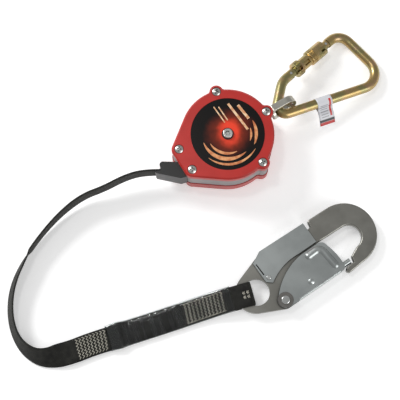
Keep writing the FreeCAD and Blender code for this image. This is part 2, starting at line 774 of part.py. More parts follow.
def carabiner_placement():
    """Tips the carabiner about its place in the shackle until its far side meets the floor."""
    nose, far, spine_end = CARABINER_NOSE, CARABINER_CORNERS[1], CARABINER_CORNERS[2]
    top_reach = corner_arc(nose, CARABINER_CORNERS[0], far, CARABINER_BENDS[0]).x + CARABINER_BENDS[0]
    far_reach = corner_arc(CARABINER_CORNERS[0], far, spine_end, CARABINER_BENDS[1]).x + CARABINER_BENDS[1]
    dip = math.asin((SWIVEL_Z - ROD_R - REST_GAP) / max(top_reach, far_reach))
    heading = math.radians(CARABINER_HEADING_DEG)
    ahead = vec(math.cos(heading), math.sin(heading))
    p_way = ahead * math.cos(dip) - vec(0, 0, math.sin(dip))
    q_way = vec(-ahead.y, ahead.x)
    n_way = p_way.cross(q_way)
    at = polar(TUBE_AT_R, SHACKLE_DEG, SWIVEL_Z) + polar(TUBE_ASIDE, SHACKLE_DEG - 90)
    matrix = FreeCAD.Matrix(
        p_way.x, q_way.x, n_way.x, at.x,
        p_way.y, q_way.y, n_way.y, at.y,
        p_way.z, q_way.z, n_way.z, at.z,
        0, 0, 0, 1,
    )
    return FreeCAD.Placement(matrix)


def placed(shape, placement):
    shape = shape.copy()
    shape.Placement = placement.multiply(shape.Placement)
    return shape


def gate_frame():
    """The gate's axis in the carabiner's plane: its turn and its start at the hinge."""
    hinge, nose = vec(*CARABINER_HINGE), vec(*CARABINER_NOSE)
    turn = math.degrees(math.atan2(nose.y - hinge.y, nose.x - hinge.x))
    return FreeCAD.Placement(hinge, FreeCAD.Rotation(vec(0, 0, 1), turn))


def gate_cyl(radius, s0, s1, across=0.0):
    """A cylinder along the gate's axis from s0 to s1, drawn along +X."""
    return Part.makeCylinder(radius, s1 - s0, vec(s0, across, 0), vec(1, 0, 0))


def carabiner_body():
    gate = gate_frame()
    nose_end = gate.multVec(vec(NOSE_GAP_AT, 0))
    hinge_end = gate.multVec(vec(ROD_R, 0))
    points = [nose_end] + [vec(*c) for c in CARABINER_CORNERS] + [hinge_end]
    path = Part.Wire(rounded_path(points, CARABINER_BENDS))
    way = (points[1] - points[0]).normalize()
    section = Part.Wire(Part.makeCircle(ROD_R, points[0], way))
    rod = path.makePipeShell([section], True, False)

    # the hinge end: rounded about the pin and slotted for the gate's tongue
    eye_r = ROD_R + 0.3
    keep = Part.makeCylinder(eye_r, 4 * ROD_R, vec(0, 0, -2 * ROD_R))
    trim = block(0, 3 * ROD_R, -2 * ROD_R, 2 * ROD_R, -2 * ROD_R, 2 * ROD_R).cut(keep)
    half = GATE_TONGUE_T / 2 + LOOSE
    slot = block(-eye_r - 0.6, 3 * ROD_R, -3 * ROD_R, 3 * ROD_R, -half, half)
    slot = slot.common(Part.makeCylinder(eye_r + 0.6, 4 * ROD_R, vec(0, 0, -2 * ROD_R)))
    pin_hole = Part.makeCylinder(GATE_PIN_R, 4 * ROD_R, vec(0, 0, -2 * ROD_R))

    # the nose: a flat tongue with a notch that passes the gate's latch pin
    tongue_half = NOSE_TONGUE_T / 2
    tongue = block(NOSE_GAP_AT - NOSE_TONGUE_L, NOSE_GAP_AT + 1, -3.4, 3.4, -tongue_half, tongue_half)
    notch_half = GATE_PIN_R + 0.4
    pin_at = NOSE_GAP_AT - NOSE_TONGUE_L / 2
    notch = block(pin_at - notch_half, pin_at + notch_half, -5, notch_half, -5, 5)
    tongue = tongue.cut(notch)
    body = rod.cut([placed(t, gate) for t in (trim, slot, pin_hole)])
    return body.fuse(placed(tongue, gate)).removeSplitter()


def hinge_pin():
    reach = math.sqrt(ROD_R**2 - GATE_PIN_R**2)
    return placed(Part.makeCylinder(GATE_PIN_R, 2 * reach, vec(0, 0, -reach)), gate_frame())


def carabiner_gate():
    rod = gate_cyl(GATE_ROD_R, ROD_R + 0.7, NOSE_GAP_AT - 0.4)
    tongue = Part.makeCylinder(ROD_R - 0.7, GATE_TONGUE_T, vec(0, 0, -GATE_TONGUE_T / 2))
    tongue_half = ROD_R - 0.7
    neck = block(0, ROD_R + 1, -tongue_half, tongue_half, -GATE_TONGUE_T / 2, GATE_TONGUE_T / 2)
    neck = neck.common(gate_cyl(ROD_R - 0.7, 0, ROD_R + 1))
    body = rod.fuse([tongue, neck])
    half = NOSE_TONGUE_T / 2 + LOOSE
    slot_from = NOSE_GAP_AT - NOSE_TONGUE_L - 0.6
    slot = block(slot_from, NOSE_GAP_AT, -9, 9, -half, half)
    hinge_hole = Part.makeCylinder(GATE_PIN_R + RUNNING, 20, vec(0, 0, -10))
    latch_hole = Part.makeCylinder(GATE_PIN_R, 20, vec(NOSE_GAP_AT - NOSE_TONGUE_L / 2, 0, -10))
    spring_bore = gate_cyl(2.2, 12.0, 30.0)
    body = body.cut([slot, hinge_hole, latch_hole, spring_bore])
    return placed(body.removeSplitter(), gate_frame())


def latch_pin():
    reach = GATE_ROD_R - 0.3
    pin = Part.makeCylinder(GATE_PIN_R, 2 * reach, vec(NOSE_GAP_AT - NOSE_TONGUE_L / 2, 0, -reach))
    return placed(pin, gate_frame())


def gate_spring():
    coil = helix(1.6, 0.35, 1.4, 14.0, 14.0)
    coil.rotate(vec(0, 0, 0), vec(0, 1, 0), 90)
    return placed(coil, gate_frame())


def sleeve_spring():
    coil = helix(5.75, 0.4, 1.8, 7.2, 33.5)
    coil.rotate(vec(0, 0, 0), vec(0, 1, 0), 90)
    return placed(coil, gate_frame())


def carabiner_sleeve():
    """A turned sleeve with two gripped collars, a waist, a window and an open slot."""
    waist_from, waist_to = SLEEVE_WAIST
    low = gate_cyl(COLLAR_R, SLEEVE_FROM, waist_from)
    high = gate_cyl(COLLAR_R, waist_to, SLEEVE_TO)
    rims = [[e for e in c.Edges if e.BoundBox.XLength < 1e-6] for c in (low, high)]
    low, high = low.makeFillet(0.7, rims[0]), high.makeFillet(0.7, rims[1])
    body = low.fuse([gate_cyl(WAIST_R, SLEEVE_FROM + 1, SLEEVE_TO - 1), high])
    bore = gate_cyl(GATE_ROD_R + LOOSE, SLEEVE_FROM - 1, SLEEVE_TO + 1)
    spring_room = gate_cyl(6.4, 32.0, 43.0)
    window = block(19.0, 27.0, -2.4, 2.4, 0, 20)
    front_slot = block(44.5, SLEEVE_TO + 1, -2.6, 2.6, 0, 20)
    rear_slot = block(SLEEVE_FROM - 1, 14.0, -2.4, 2.4, 0, 20)
    cuts = [bore, spring_room, window, front_slot, rear_slot]
    for k in range(6):
        groove = gate_cyl(COLLAR_R + 1, waist_to + 1.6 + 0.9 * k, waist_to + 2.0 + 0.9 * k)
        cuts.append(groove.cut(gate_cyl(COLLAR_R - 0.3, 0, 100)))
    for k in range(5):
        groove = gate_cyl(COLLAR_R + 1, SLEEVE_FROM + 1.8 + 1.2 * k, SLEEVE_FROM + 2.3 + 1.2 * k)
        cuts.append(groove.cut(gate_cyl(COLLAR_R - 0.3, 0, 100)))
    body = body.cut(cuts)
    body.rotate(vec(0, 0, 0), vec(1, 0, 0), SLEEVE_TURN_DEG)
    return placed(body.removeSplitter(), gate_frame())


def carabiner_tag():
    """A loop of vinyl round the spine whose doubled tail droops towards the floor."""
    far, start = vec(*CARABINER_CORNERS[1]), vec(*CARABINER_CORNERS[2])
    spine = (far - start).normalize()
    turn = math.degrees(math.atan2(spine.y, spine.x))
    outer = ROD_R + 0.15 + TAG_T
    loop = Part.makeCylinder(outer, TAG_W, vec(0, 0, 0), vec(1, 0, 0))
    loop = loop.cut(Part.makeCylinder(ROD_R + 0.15, TAG_W + 2, vec(-1, 0, 0), vec(1, 0, 0)))
    tail = block(0, TAG_W, -outer - TAG_HANG, -outer + TAG_T / 2, -TAG_T, TAG_T)
    tail.rotate(vec(0, 0, 0), vec(1, 0, 0), TAG_DROOP_DEG)
    tag = joined([loop, tail])
    at = start + spine * (TAG_AT - TAG_W / 2)
    return placed(tag, FreeCAD.Placement(at, FreeCAD.Rotation(vec(0, 0, 1), turn)))


# ---------------------------------------------------------------- webbing


def web_radii(points):
    """Each arc as large as its two runs allow."""
    radii = []
    for i in range(1, len(points) - 1):
        back, ahead = points[i - 1] - points[i], points[i + 1] - points[i]
        half_turn = (math.pi - back.getAngle(ahead)) / 2
        radii.append(0.45 * min(back.Length, ahead.Length) / math.tan(half_turn))
    return radii


def lean(height):
    """How far the webbing stands up, in radians, when its lower edge is on the floor."""
    half, thick = WEB_W / 2, WEB_T / 2
    slant = math.hypot(half, thick)
    least = math.atan2(thick, half)
    rise = (height - 0.15) / slant
    if rise >= 1:
        return min(math.pi / 2, math.pi / 2 - least + (rise - 1) * 0.25)
    return max(0.0, math.asin(max(0.0, rise)) - least)


def tilt_at(at, returning):
    """The webbing leans until it is laid flat where it is sewn to its own tail."""
    if not returning:
        return lean(at.z)
    share = min(1.0, max(0.0, (FLAT_AT_X - at.x) / (FLAT_AT_X - FLAT_FROM_X)))
    return lean(at.z) * share * share * (3 - 2 * share)


def web_section(at, way, tilt):
    """The webbing's cross section: a thin rectangle, upright when tilt is a quarter turn."""
    level = vec(-way.y, way.x).normalize()
    wide = level * math.cos(tilt) + level.cross(way).normalize() * (-math.sin(tilt))
    if wide.z < 0:
        wide = level * math.cos(tilt) + way.cross(level).normalize() * math.sin(tilt)
    flat = way.cross(wide).normalize()
    w, t = wide * (WEB_W / 2), flat * (WEB_T / 2)
    corners = [at - w - t, at + w - t, at + w + t, at - w + t]
    return Part.makePolygon(corners + [corners[0]])


def webbing_line():
    points = [vec(*p) for p in ROUTE]
    radii = web_radii(points)
    print("webbing radii", [round(r) for r in radii])
    edges = rounded_path(points, radii)
    length = sum(e.Length for e in edges)
    sections = []
    for number, edge in enumerate(edges):
        steps = 4 if number % 2 else 3
        first, last = edge.FirstParameter, edge.LastParameter
        for k in range(steps):
            here = first + (last - first) * k / steps
            at, way = edge.valueAt(here), edge.tangentAt(here)
            sections.append(web_section(at, way, tilt_at(at, number > 2 * LEFTMOST)))
    end = edges[-1]
    sections.append(web_section(points[-1], end.tangentAt(end.LastParameter), 0.0))
    solid = Part.makeLoft(sections, True, True)
    print("webbing length", round(length, 1), "volume ratio", round(solid.Volume / (length * WEB_W * WEB_T), 4))
    return solid


def webbing_end_loop():
    """The tail that turns down through the hook's eye and is sewn back under the line."""
    bar = FreeCAD.Placement(vec(*HOOK_EYE), FreeCAD.Rotation(vec(0, 0, 1), WEB_HEADING_DEG))
    top_z, low_z = ROUTE[-1][2], HOOK_Z - 0.5 - WEB_T / 2
    start = bar.inverse().multVec(vec(*ROUTE[-1]))
    turn_x = -HOOK_BAR_AT + 0.5 + WEB_T / 2
    bend = 2.0
    near = [vec(start.x, 0, top_z), vec(turn_x, 0, top_z), vec(turn_x, 0, low_z), vec(-24.0, 0, low_z)]
    edges = rounded_path(near, [min(bend, (turn_x - start.x) * 0.9), bend])
    sections = []
    for edge in edges:
        first, last = edge.FirstParameter, edge.LastParameter
        for k in range(4):
            here = first + (last - first) * k / 4
            sections.append((bar.multVec(edge.valueAt(here)), bar.Rotation.multVec(edge.tangentAt(here))))
    low_z = ROUTE[SEWN_FROM][2] - LAYER_STEP
    sewn = [vec(x, y, low_z) for x, y, z in reversed(ROUTE[SEWN_FROM:-2])]
    share = (FLAT_AT_X - ROUTE[SEWN_FROM][0]) / (ROUTE[SEWN_FROM - 1][0] - ROUTE[SEWN_FROM][0])
    beyond = vec(ROUTE[SEWN_FROM - 1][0], ROUTE[SEWN_FROM - 1][1], low_z)
    sewn.append(sewn[-1] + (beyond - sewn[-1]) * share)
    joint = [bar.multVec(near[-1])] + sewn
    later = rounded_path(joint, web_radii(joint))
    for edge in later:
        first, last = edge.FirstParameter, edge.LastParameter
        for k in range(3):
            here = first + (last - first) * k / 3
            sections.append((edge.valueAt(here), edge.tangentAt(here)))
    sections.append((joint[-1], (joint[-1] - joint[-2]).normalize()))
    across = bar.Rotation.multVec(vec(0, 1, 0))
    wires = []
    for at, way in sections:
        level = vec(way.y, -way.x)
        wide = level.normalize() if level.Length > 0.3 else across
        if wide.dot(across) < 0:
            wide = wide * -1
        flat = way.cross(wide).normalize()
        w, t = wide * (WEB_W / 2), flat * (WEB_T / 2)
        corners = [at - w - t, at + w - t, at + w + t, at - w + t]
        wires.append(Part.makePolygon(corners + [corners[0]]))
    return Part.makeLoft(wires, True, True)


def stitch_cover():
    """The clear sleeve wrapped round both layers of webbing over the stitching."""
    points = [vec(*p) for p in ROUTE]
    stations = []
    for edge in rounded_path(points, web_radii(points))[2 * SEWN_FROM - 2:]:
        first, last = edge.FirstParameter, edge.LastParameter
        for k in range(8):
            here = first + (last - first) * k / 8
            at = edge.valueAt(here)
            if COVER_FROM_X <= at.x <= COVER_TO_X:
                stations.append((at, edge.tangentAt(here)))
    first_at, first_way = stations[0]
    last_at, last_way = stations[-1]
    longer = [(first_at - first_way, first_way)] + stations + [(last_at + last_way, last_way)]
    outer = Part.makeLoft([cover_section(at, way, 0.0) for at, way in stations], True, True)
    inner = Part.makeLoft([cover_section(at, way, COVER_WALL) for at, way in longer], True, True)
    return outer.cut(inner)


def cover_section(at, way, wall):
    """An upright rectangle from under the lower layer to over the upper one."""
    side = vec(-way.y, way.x).normalize() * (WEB_W / 2 + 0.25 + COVER_WALL - wall)
    low = vec(at.x, at.y, 0.1 + wall)
    high = vec(at.x, at.y, at.z + WEB_T / 2 + 0.2 + COVER_WALL - wall)
    corners = [low - side, low + side, high + side, high - side]
    return Part.makePolygon(corners + [corners[0]])


# ---------------------------------------------------------------- snap hook

LEVER_GAP = LOOSE
HOOK_Z = 2 * (HOOK_SHEET + LEVER_GAP)
HOOK_TOP = HOOK_Z + HOOK_PLATE
HOOK_MID = HOOK_Z + HOOK_PLATE / 2
HOOK_HIGH = HOOK_TOP + 2 * (HOOK_SHEET + LEVER_GAP)


def on_hook(shape):
    place = FreeCAD.Placement(vec(*HOOK_EYE), FreeCAD.Rotation(vec(0, 0, 1), HOOK_DEG))
    return placed(shape, place)


def hook_body():
    wire = outline(
        (-8.0, 21.0),
        [
            (23.0, 32.3),
            (84.5, 26.6),
            (88.0, 27.4),
            (88.8, 33.6),
            (91.0, 35.0),
            (115.0, 35.0),
            ((150.0, 0.0), (115.0, -35.0)),
            (98.4, -36.9),
            ((94.9, -35.9), (94.0, -32.8)),
            (97.5, -29.9),
            (106.0, -29.6),
            (107.4, -23.2),
            (118.8, -17.6),
            ((130.9, -5.0), (118.5, 8.8)),
            (84.5, 9.0),
            (29.0, -19.5),
            ((28.5, -29.3), (17.6, -32.25)),
            (-9.0, -20.6),
            ((-22.3, 3.1), (-8.0, 21.0)),
        ],
    )
    plate = prism(wire, HOOK_Z, HOOK_TOP)
    rims = [e for e in plate.Edges if e.BoundBox.ZLength < 1e-6 and e.BoundBox.XMin > 84.6]
    plate = plate.makeFillet(1.6, rims)
    hole = cyl(HOOK_EYE_R, 0, 30)
    bar = block(-40, -HOOK_BAR_AT, -40, 40, -1, 31)
    bar.rotate(vec(0, 0, 0), vec(0, 0, 1), WEB_HEADING_DEG - HOOK_DEG)
    cuts = [
        hole.cut(bar),
        cyl(HOOK_RIVET_R, 0, 30, HOOK_GATE_PIVOT),
        cyl(LEVER_PIN_R, 0, 30, HOOK_LEVER_PIVOT),
        ring(6.9, HOOK_RIVET_R + 1.0, HOOK_TOP - 3.0, 30, HOOK_GATE_PIVOT),
    ]
    return on_hook(plate.cut(cuts))


def hook_gate():
    """Two sheets joined along the thumb edge, with a bead, a lip, a dimple and a latch tongue."""
    wire = outline(
        (21.2, -32.6),
        [
            (90.6, -31.2),
            ((94.2, -29.4), (95.2, -25.5)),
            ((94.6, -12.0), (91.6, 0.5)),
            ((89.4, 5.6), (84.5, 8.0)),
            (62.0, 7.4),
            ((33.1, -3.0), (17.3, -16.5)),
            ((12.75, -24.0), (21.2, -32.6)),
        ],
    )
    top = prism(wire, HOOK_HIGH - HOOK_SHEET, HOOK_HIGH)
    low = prism(wire, 0, HOOK_SHEET)
    web = prism(polygon([(34.0, -32.3), (90.6, -31.2), (90.6, -29.7), (34.0, -30.8)]), 0, HOOK_HIGH)
    latch = block(84.5, 92.0, -31.0, -23.5, 0, HOOK_HIGH)
    tongue = Part.makeCylinder(3.2, 14.0, vec(90.0, -26.2, HOOK_MID), vec(1, 0, 0))
    bead_r = 5.2
    bead_z = HOOK_HIGH - 3.2
    bead_path = [vec(68.5, 2.0, bead_z), vec(84.0, 3.0, bead_z), vec(87.0, -21.5, bead_z)]
    path = Part.Wire(rounded_path(bead_path, [7.0]))
    section = Part.Wire(Part.makeCircle(bead_r, bead_path[0], bead_path[1] - bead_path[0]))
    bead = path.makePipeShell([section], True, False)
    ends = [Part.makeSphere(bead_r, p) for p in (bead_path[0], bead_path[-1])]
    bead = joined([bead] + ends)
    bead = bead.cut(block(0, 200, -60, 60, -10, HOOK_HIGH - HOOK_SHEET))
    lip = Part.makeCylinder(1.0, 54.0, vec(34.0, -31.4, HOOK_HIGH - 0.3), vec(69.4, 1.4, 0))
    body = joined([top, low, web, latch, tongue, bead, lip])
    dimple = Part.makeSphere(6.0, vec(54.9, -22.6, HOOK_HIGH + 5.0))
    cuts = [cyl(HOOK_RIVET_R + RUNNING, -1, 30, HOOK_GATE_PIVOT), dimple]
    return on_hook(body.cut(cuts))


def hook_lock_lever():
    """A folded sheet over the spine that is squeezed to free the gate."""
    wire = outline(
        (13.8, 27.6),
        [
            (26.5, 35.0),
            (83.5, 35.0),
            (84.3, 10.5),
            (62.0, 9.8),
            ((38.0, 7.2), (20.5, -1.2)),
            (14.6, 3.4),
        ],
    )
    low_z = HOOK_SHEET + LEVER_GAP
    high_z = HOOK_TOP + LEVER_GAP
    top = prism(wire, high_z, high_z + HOOK_SHEET)
    low = prism(wire, low_z, low_z + HOOK_SHEET)
    web = block(27.0, 83.5, 35.0 - HOOK_SHEET, 35.0, low_z, high_z + HOOK_SHEET)
    body = joined([top, low, web])
    slot = prism(polygon([(15.4, 25.0), (16.6, 25.0), (17.6, 11.0), (16.2, 11.0)]), high_z - 1, 30)
    return on_hook(body.cut([slot, cyl(LEVER_PIN_R + RUNNING, -1, 30, HOOK_LEVER_PIVOT)]))


def hook_rivet():
    head_z = HOOK_HIGH + 0.7
    head = cyl(HOOK_RIVET_HEAD_R, head_z, head_z + 1.8, HOOK_GATE_PIVOT)
    rim = [e for e in head.Edges if abs(e.BoundBox.ZMin - head_z - 1.8) < 1e-6]
    head = head.makeFillet(1.2, rim)
    shank = cyl(HOOK_RIVET_R, 0.1, head_z + 0.5, HOOK_GATE_PIVOT)
    return on_hook(joined([head, shank]))


def hook_gate_washers():
    low = ring(8.2, HOOK_RIVET_R, HOOK_SHEET + 0.1, HOOK_Z, HOOK_GATE_PIVOT)
    high = ring(8.2, HOOK_RIVET_R, HOOK_TOP, HOOK_HIGH - HOOK_SHEET - 0.1, HOOK_GATE_PIVOT)
    cap = ring(8.4, HOOK_RIVET_R, HOOK_HIGH + 0.1, HOOK_HIGH + 0.7, HOOK_GATE_PIVOT)
    return on_hook(group([low, high, cap]))


def hook_lever_pin():
    high = HOOK_TOP + LEVER_GAP + HOOK_SHEET
    low = HOOK_SHEET + 0.05
    head = cyl(2.5, high + 0.1, high + 1.1, HOOK_LEVER_PIVOT)
    rim = [e for e in head.Edges if abs(e.BoundBox.ZMin - high - 1.1) < 1e-6]
    head = head.makeFillet(0.7, rim)
    return on_hook(joined([head, cyl(LEVER_PIN_R, low, high + 0.5, HOOK_LEVER_PIVOT)]))


def hook_gate_spring():
    coil = helix(5.6, 0.55, 1.3, 1.4, HOOK_TOP - 2.3)
    coil.translate(vec(HOOK_GATE_PIVOT[0], HOOK_GATE_PIVOT[1], 0))
    return on_hook(coil)


def hook_lever_spring():
    strip = prism(polygon([(30.0, 31.9), (44.0, 30.6), (44.0, 31.1), (30.0, 32.4)]), HOOK_Z + 1, HOOK_TOP - 1)
    return on_hook(strip)


# ---------------------------------------------------------------- build


def build():
    os.makedirs("parts", exist_ok=True)
    save("front_cover", front_cover())
    save("rear_cover", rear_cover())
    save("centre_frame", centre_frame())
    save("front_decal", ring(DECAL_R, HUB_SCREW_R + SEAT, CASE_DEPTH - LABEL_T - SEAT, CASE_DEPTH - SEAT))
    save("rear_label", ring(LABEL_R, LABEL_HOLE_R, 0.1, LABEL_T))
    save("rear_side_plate", side_plate(REAR_PLATE_Z, REAR_PLATE_TOP, SLEEVE_R + 0.7))
    save("front_side_plate", side_plate(FRONT_PLATE_Z, FRONT_PLATE_TOP, SHAFT_NECK_R + RUNNING))
    save("frame_spacers", spacers())
    save("clinch_nuts", clinch_nuts())
    save("front_cover_screws", front_cover_screws())
    save("rear_cover_screws", rear_cover_screws())
    save("main_shaft", main_shaft())
    save("hub_washer", hub_washer())
    save("hub_screw", hub_screw())
    save("drum", drum())
    save("drum_front_flange", drum_front_flange())
    save("drum_bushes", drum_bushes())
    save("wound_webbing", wound_webbing())
    anchor_z = DRUM_Z + FLANGE_T
    anchor = cyl(ANCHOR_PIN_R, anchor_z, DRUM_TOP - FLANGE_T, (ANCHOR_PIN_AT_R, 0))
    save("webbing_anchor_pin", anchor)
    save("webbing_lead", webbing_lead())
    save("spring_cup", spring_cup())
    save("spring_arbor", spring_arbor())
    save("power_spring", power_spring())
    save("ratchet_ring", ratchet_ring())
    save("pawl_a", pawl(0))
    save("pawl_b", pawl(1))
    save("pawl_pins", pawl_pins())
    save("pawl_springs", pawl_springs())
    save("webbing_guide", web_guide())
    save("swivel_post", swivel_post())
    save("swivel_stud", swivel_stud())
    save("shackle_link", shackle_link())
    where = carabiner_placement()
    print("carabiner x axis", where.Rotation.multVec(vec(1, 0, 0)), "at", where.Base)
    for name, shape in (
        ("carabiner_body", carabiner_body()),
        ("carabiner_gate", carabiner_gate()),
        ("gate_hinge_pin", hinge_pin()),
        ("gate_latch_pin", latch_pin()),
        ("gate_spring", gate_spring()),
        ("sleeve_spring", sleeve_spring()),
        ("carabiner_sleeve", carabiner_sleeve()),
        ("carabiner_tag", carabiner_tag()),
    ):
        save(name, placed(shape, where))
    save("webbing_line", webbing_line())
    save("webbing_end_loop", webbing_end_loop())
    save("stitch_cover", stitch_cover())
    save("hook_body", hook_body())
    save("hook_gate", hook_gate())
    save("hook_lock_lever", hook_lock_lever())
    save("hook_rivet", hook_rivet())
    save("hook_gate_washers", hook_gate_washers())
    save("hook_lever_pin", hook_lever_pin())
    save("hook_gate_spring", hook_gate_spring())
    save("hook_lever_spring", hook_lever_spring())


build()
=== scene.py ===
import math

import bpy
import numpy as np
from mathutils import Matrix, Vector


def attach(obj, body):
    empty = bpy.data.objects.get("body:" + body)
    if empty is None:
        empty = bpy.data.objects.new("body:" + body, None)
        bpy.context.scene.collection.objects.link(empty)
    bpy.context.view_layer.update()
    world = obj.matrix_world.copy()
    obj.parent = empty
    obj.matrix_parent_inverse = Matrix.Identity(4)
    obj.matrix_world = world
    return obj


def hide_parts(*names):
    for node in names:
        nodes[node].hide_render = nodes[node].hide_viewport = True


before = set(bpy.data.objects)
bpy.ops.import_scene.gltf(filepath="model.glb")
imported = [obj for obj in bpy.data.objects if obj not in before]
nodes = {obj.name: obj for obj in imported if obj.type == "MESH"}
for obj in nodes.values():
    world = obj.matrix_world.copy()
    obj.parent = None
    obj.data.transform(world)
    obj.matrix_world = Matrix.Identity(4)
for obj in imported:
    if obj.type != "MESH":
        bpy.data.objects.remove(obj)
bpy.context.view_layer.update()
scene = bpy.context.scene

# The webbing's own facts, in metres.
WEB_W = 0.0254
WEB_T = 0.0020
WEB_HEADING = math.radians(15.0)
HOOK_EYE = (0.0308, -0.1650)
# Past its left bend it stands up as before until FLAT_FROM_X, and from FLAT_AT_X on it lies flat.
FLAT_FROM_X = -0.190
FLAT_AT_X = -0.162
# The tail lies one LAYER_STEP under the line from the route's point SEWN_FROM on.
SEWN_FROM = 13
LAYER_STEP = 0.00215
# How far the webbing's lower edge stays above the floor.
FLOOR_GAP = 0.00015
# The front label's upper face, and the radius of the carabiner's rod.
DECAL_TOP = 0.0498
ROD_R = 0.0055
# The middle of the webbing, from the guide's mouth to the hook's eye.
ROUTE = [
    (-0.0730, -0.0369, 0.0271),
    (-0.0910, -0.0369, 0.0271),
    (-0.1115, -0.0425, 0.0246),
    (-0.1335, -0.0535, 0.0210),
    (-0.1565, -0.0615, 0.0180),
    (-0.1795, -0.0790, 0.0155),
    (-0.2005, -0.1025, 0.0136),
    (-0.2180, -0.1280, 0.0126),
    (-0.2315, -0.1600, 0.0124),
    (-0.2320, -0.1940, 0.0124),
    (-0.2210, -0.2215, 0.0123),
    (-0.1990, -0.2360, 0.0108),
    (-0.1710, -0.2300, 0.0043),
    (-0.1450, -0.2195, 0.0038),
    (-0.1100, -0.2088, 0.0038),
    (-0.0760, -0.1980, 0.0038),
    (-0.0420, -0.1867, 0.0038),
    (-0.0210, -0.1796, 0.0046),
    (0.0040, -0.1719, 0.0130),
    (0.0250, -0.1665, 0.0131),
]


# ------------------------------------------------------------------ camera and light


def look_from(azimuth, elevation, distance, target, across):
    """A camera that sees a width of across at the target, from distance away."""
    a, e = math.radians(azimuth), math.radians(elevation)
    back = Vector((math.sin(a) * math.cos(e), -math.cos(a) * math.cos(e), math.sin(e)))
    data = bpy.data.cameras.new("camera")
    camera = bpy.data.objects.new("camera", data)
    scene.collection.objects.link(camera)
    camera.location = Vector(target) + back * distance
    camera.rotation_mode = "QUATERNION"
    camera.rotation_quaternion = (-back).to_track_quat("-Z", "Y")
    data.sensor_width = 36.0
    data.lens = 36.0 * distance / across
    data.dof.use_dof = False
    data.clip_start, data.clip_end = 0.01, 20.0
    scene.camera = camera


look_from(azimuth=0.0, elevation=78.0, distance=1.2, target=(-0.0296, -0.0616, 0.0), across=0.440)


def soft_box(name, place, target, size, power):
    """A square studio light aimed at a point."""
    data = bpy.data.lights.new(name, "AREA")
    data.shape = "SQUARE"
    data.size = size
    data.energy = power
    lamp = bpy.data.objects.new(name, data)
    scene.collection.objects.link(lamp)
    lamp.location = place
    aim = Vector(target) - Vector(place)
    lamp.rotation_mode = "QUATERNION"
    lamp.rotation_quaternion = aim.to_track_quat("-Z", "Y")


soft_box("key_light", (-0.85, 0.60, 0.80), target=(-0.03, -0.06, 0.0), size=0.45, power=13.0)
soft_box("fill_light", (1.00, -0.80, 0.70), target=(0.05, -0.06, 0.0), size=0.90, power=8.0)
soft_box("spark_light", (-0.28, 0.16, 1.15), target=(-0.05, -0.10, 0.0), size=0.12, power=1.4)
world = bpy.data.worlds.new("studio")
scene.world = world
world.use_nodes = True
sky = world.node_tree.nodes["Background"]
sky.inputs["Color"].default_value = (1.0, 1.0, 1.0, 1.0)
sky.inputs["Strength"].default_value = 0.38
scene.view_settings.view_transform = "Standard"


# ------------------------------------------------------------------ material helpers


# Millimetres in a metre: a pattern's scale is this over its size, and a depth is millimetres over this.
MM = 1000.0
RGBA = {"data_type": "RGBA"}
SMOOTH = {"interpolation_type": "SMOOTHSTEP"}
TIMES = {"operation": "MULTIPLY"}
TIMES_PLUS = {"operation": "MULTIPLY_ADD"}
PLUS = {"operation": "ADD"}
SINE = {"operation": "SINE"}


def colour(code):
    """An sRGB hex code as linear red, green, blue and one."""
    values = [int(code[k:k + 2], 16) / 255 for k in (1, 3, 5)]
    linear = [v / 12.92 if v <= 0.04045 else ((v + 0.055) / 1.055) ** 2.4 for v in values]
    return (*linear, 1.0)


def wire(tree, node, **inputs):
    """Sets a node's inputs by name, or by place as i0: sockets are linked and hex codes made linear."""
    for key, value in inputs.items():
        by_place = key[0] == "i" and key[1:].isdigit()
        socket = node.inputs[int(key[1:]) if by_place else key.replace("_", " ")]
        if isinstance(value, bpy.types.NodeSocket):
            tree.links.new(value, socket)
        else:
            socket.default_value = colour(value) if isinstance(value, str) else value


def add(tree, kind, out, settings=None, **inputs):
    """Adds a shader node with its settings and inputs, and gives the output of that name or place."""
    node = tree.nodes.new("ShaderNode" + kind)
    for key, value in (settings or {}).items():
        setattr(node, key, value)
    wire(tree, node, **inputs)
    return node.outputs[out]


def finish_material(name, roughness=0.5, metallic=0.0, **more):
    """A new material, its tree and its principled shader, which holds what is the same all over."""
    made = bpy.data.materials.new(name)
    made.use_nodes = True
    tree = made.node_tree
    shader = tree.nodes["Principled BSDF"]
    wire(tree, shader, Roughness=roughness, Metallic=metallic, **more)
    return made, tree, shader


# ------------------------------------------------------------------ materials


def moulded_plastic(name, base, shade, roughness, grain_mm, depth_mm):
    """Injection-moulded plastic: an even colour, a fine spark-eroded grain and a soft gloss, a little
    duller in patches where it is handled."""
    made, tree, shader = finish_material(name, roughness)
    place = add(tree, "TexCoord", "Object")
    cloud = add(tree, "TexNoise", "Fac", Vector=place, Scale=MM / 26.0, Detail=3.0)
    cloud = add(tree, "MapRange", "Result", SMOOTH, Value=cloud, From_Min=0.3, From_Max=0.7)
    tint = add(tree, "Mix", 2, RGBA, i0=cloud, i6=shade, i7=base)
    handled = add(tree, "TexNoise", "Fac", Vector=place, Scale=MM / 9.0, Detail=3.0)
    rough = add(tree, "Math", 0, TIMES_PLUS, i0=handled, i1=0.16, i2=roughness - 0.08)
    grain = add(tree, "TexNoise", "Fac", Vector=place, Scale=MM / grain_mm, Detail=2.0)
    relief = add(tree, "Bump", "Normal", Height=grain, Distance=depth_mm / MM, Strength=0.35)
    wire(tree, shader, Base_Color=tint, Roughness=rough, Normal=relief)
    return made


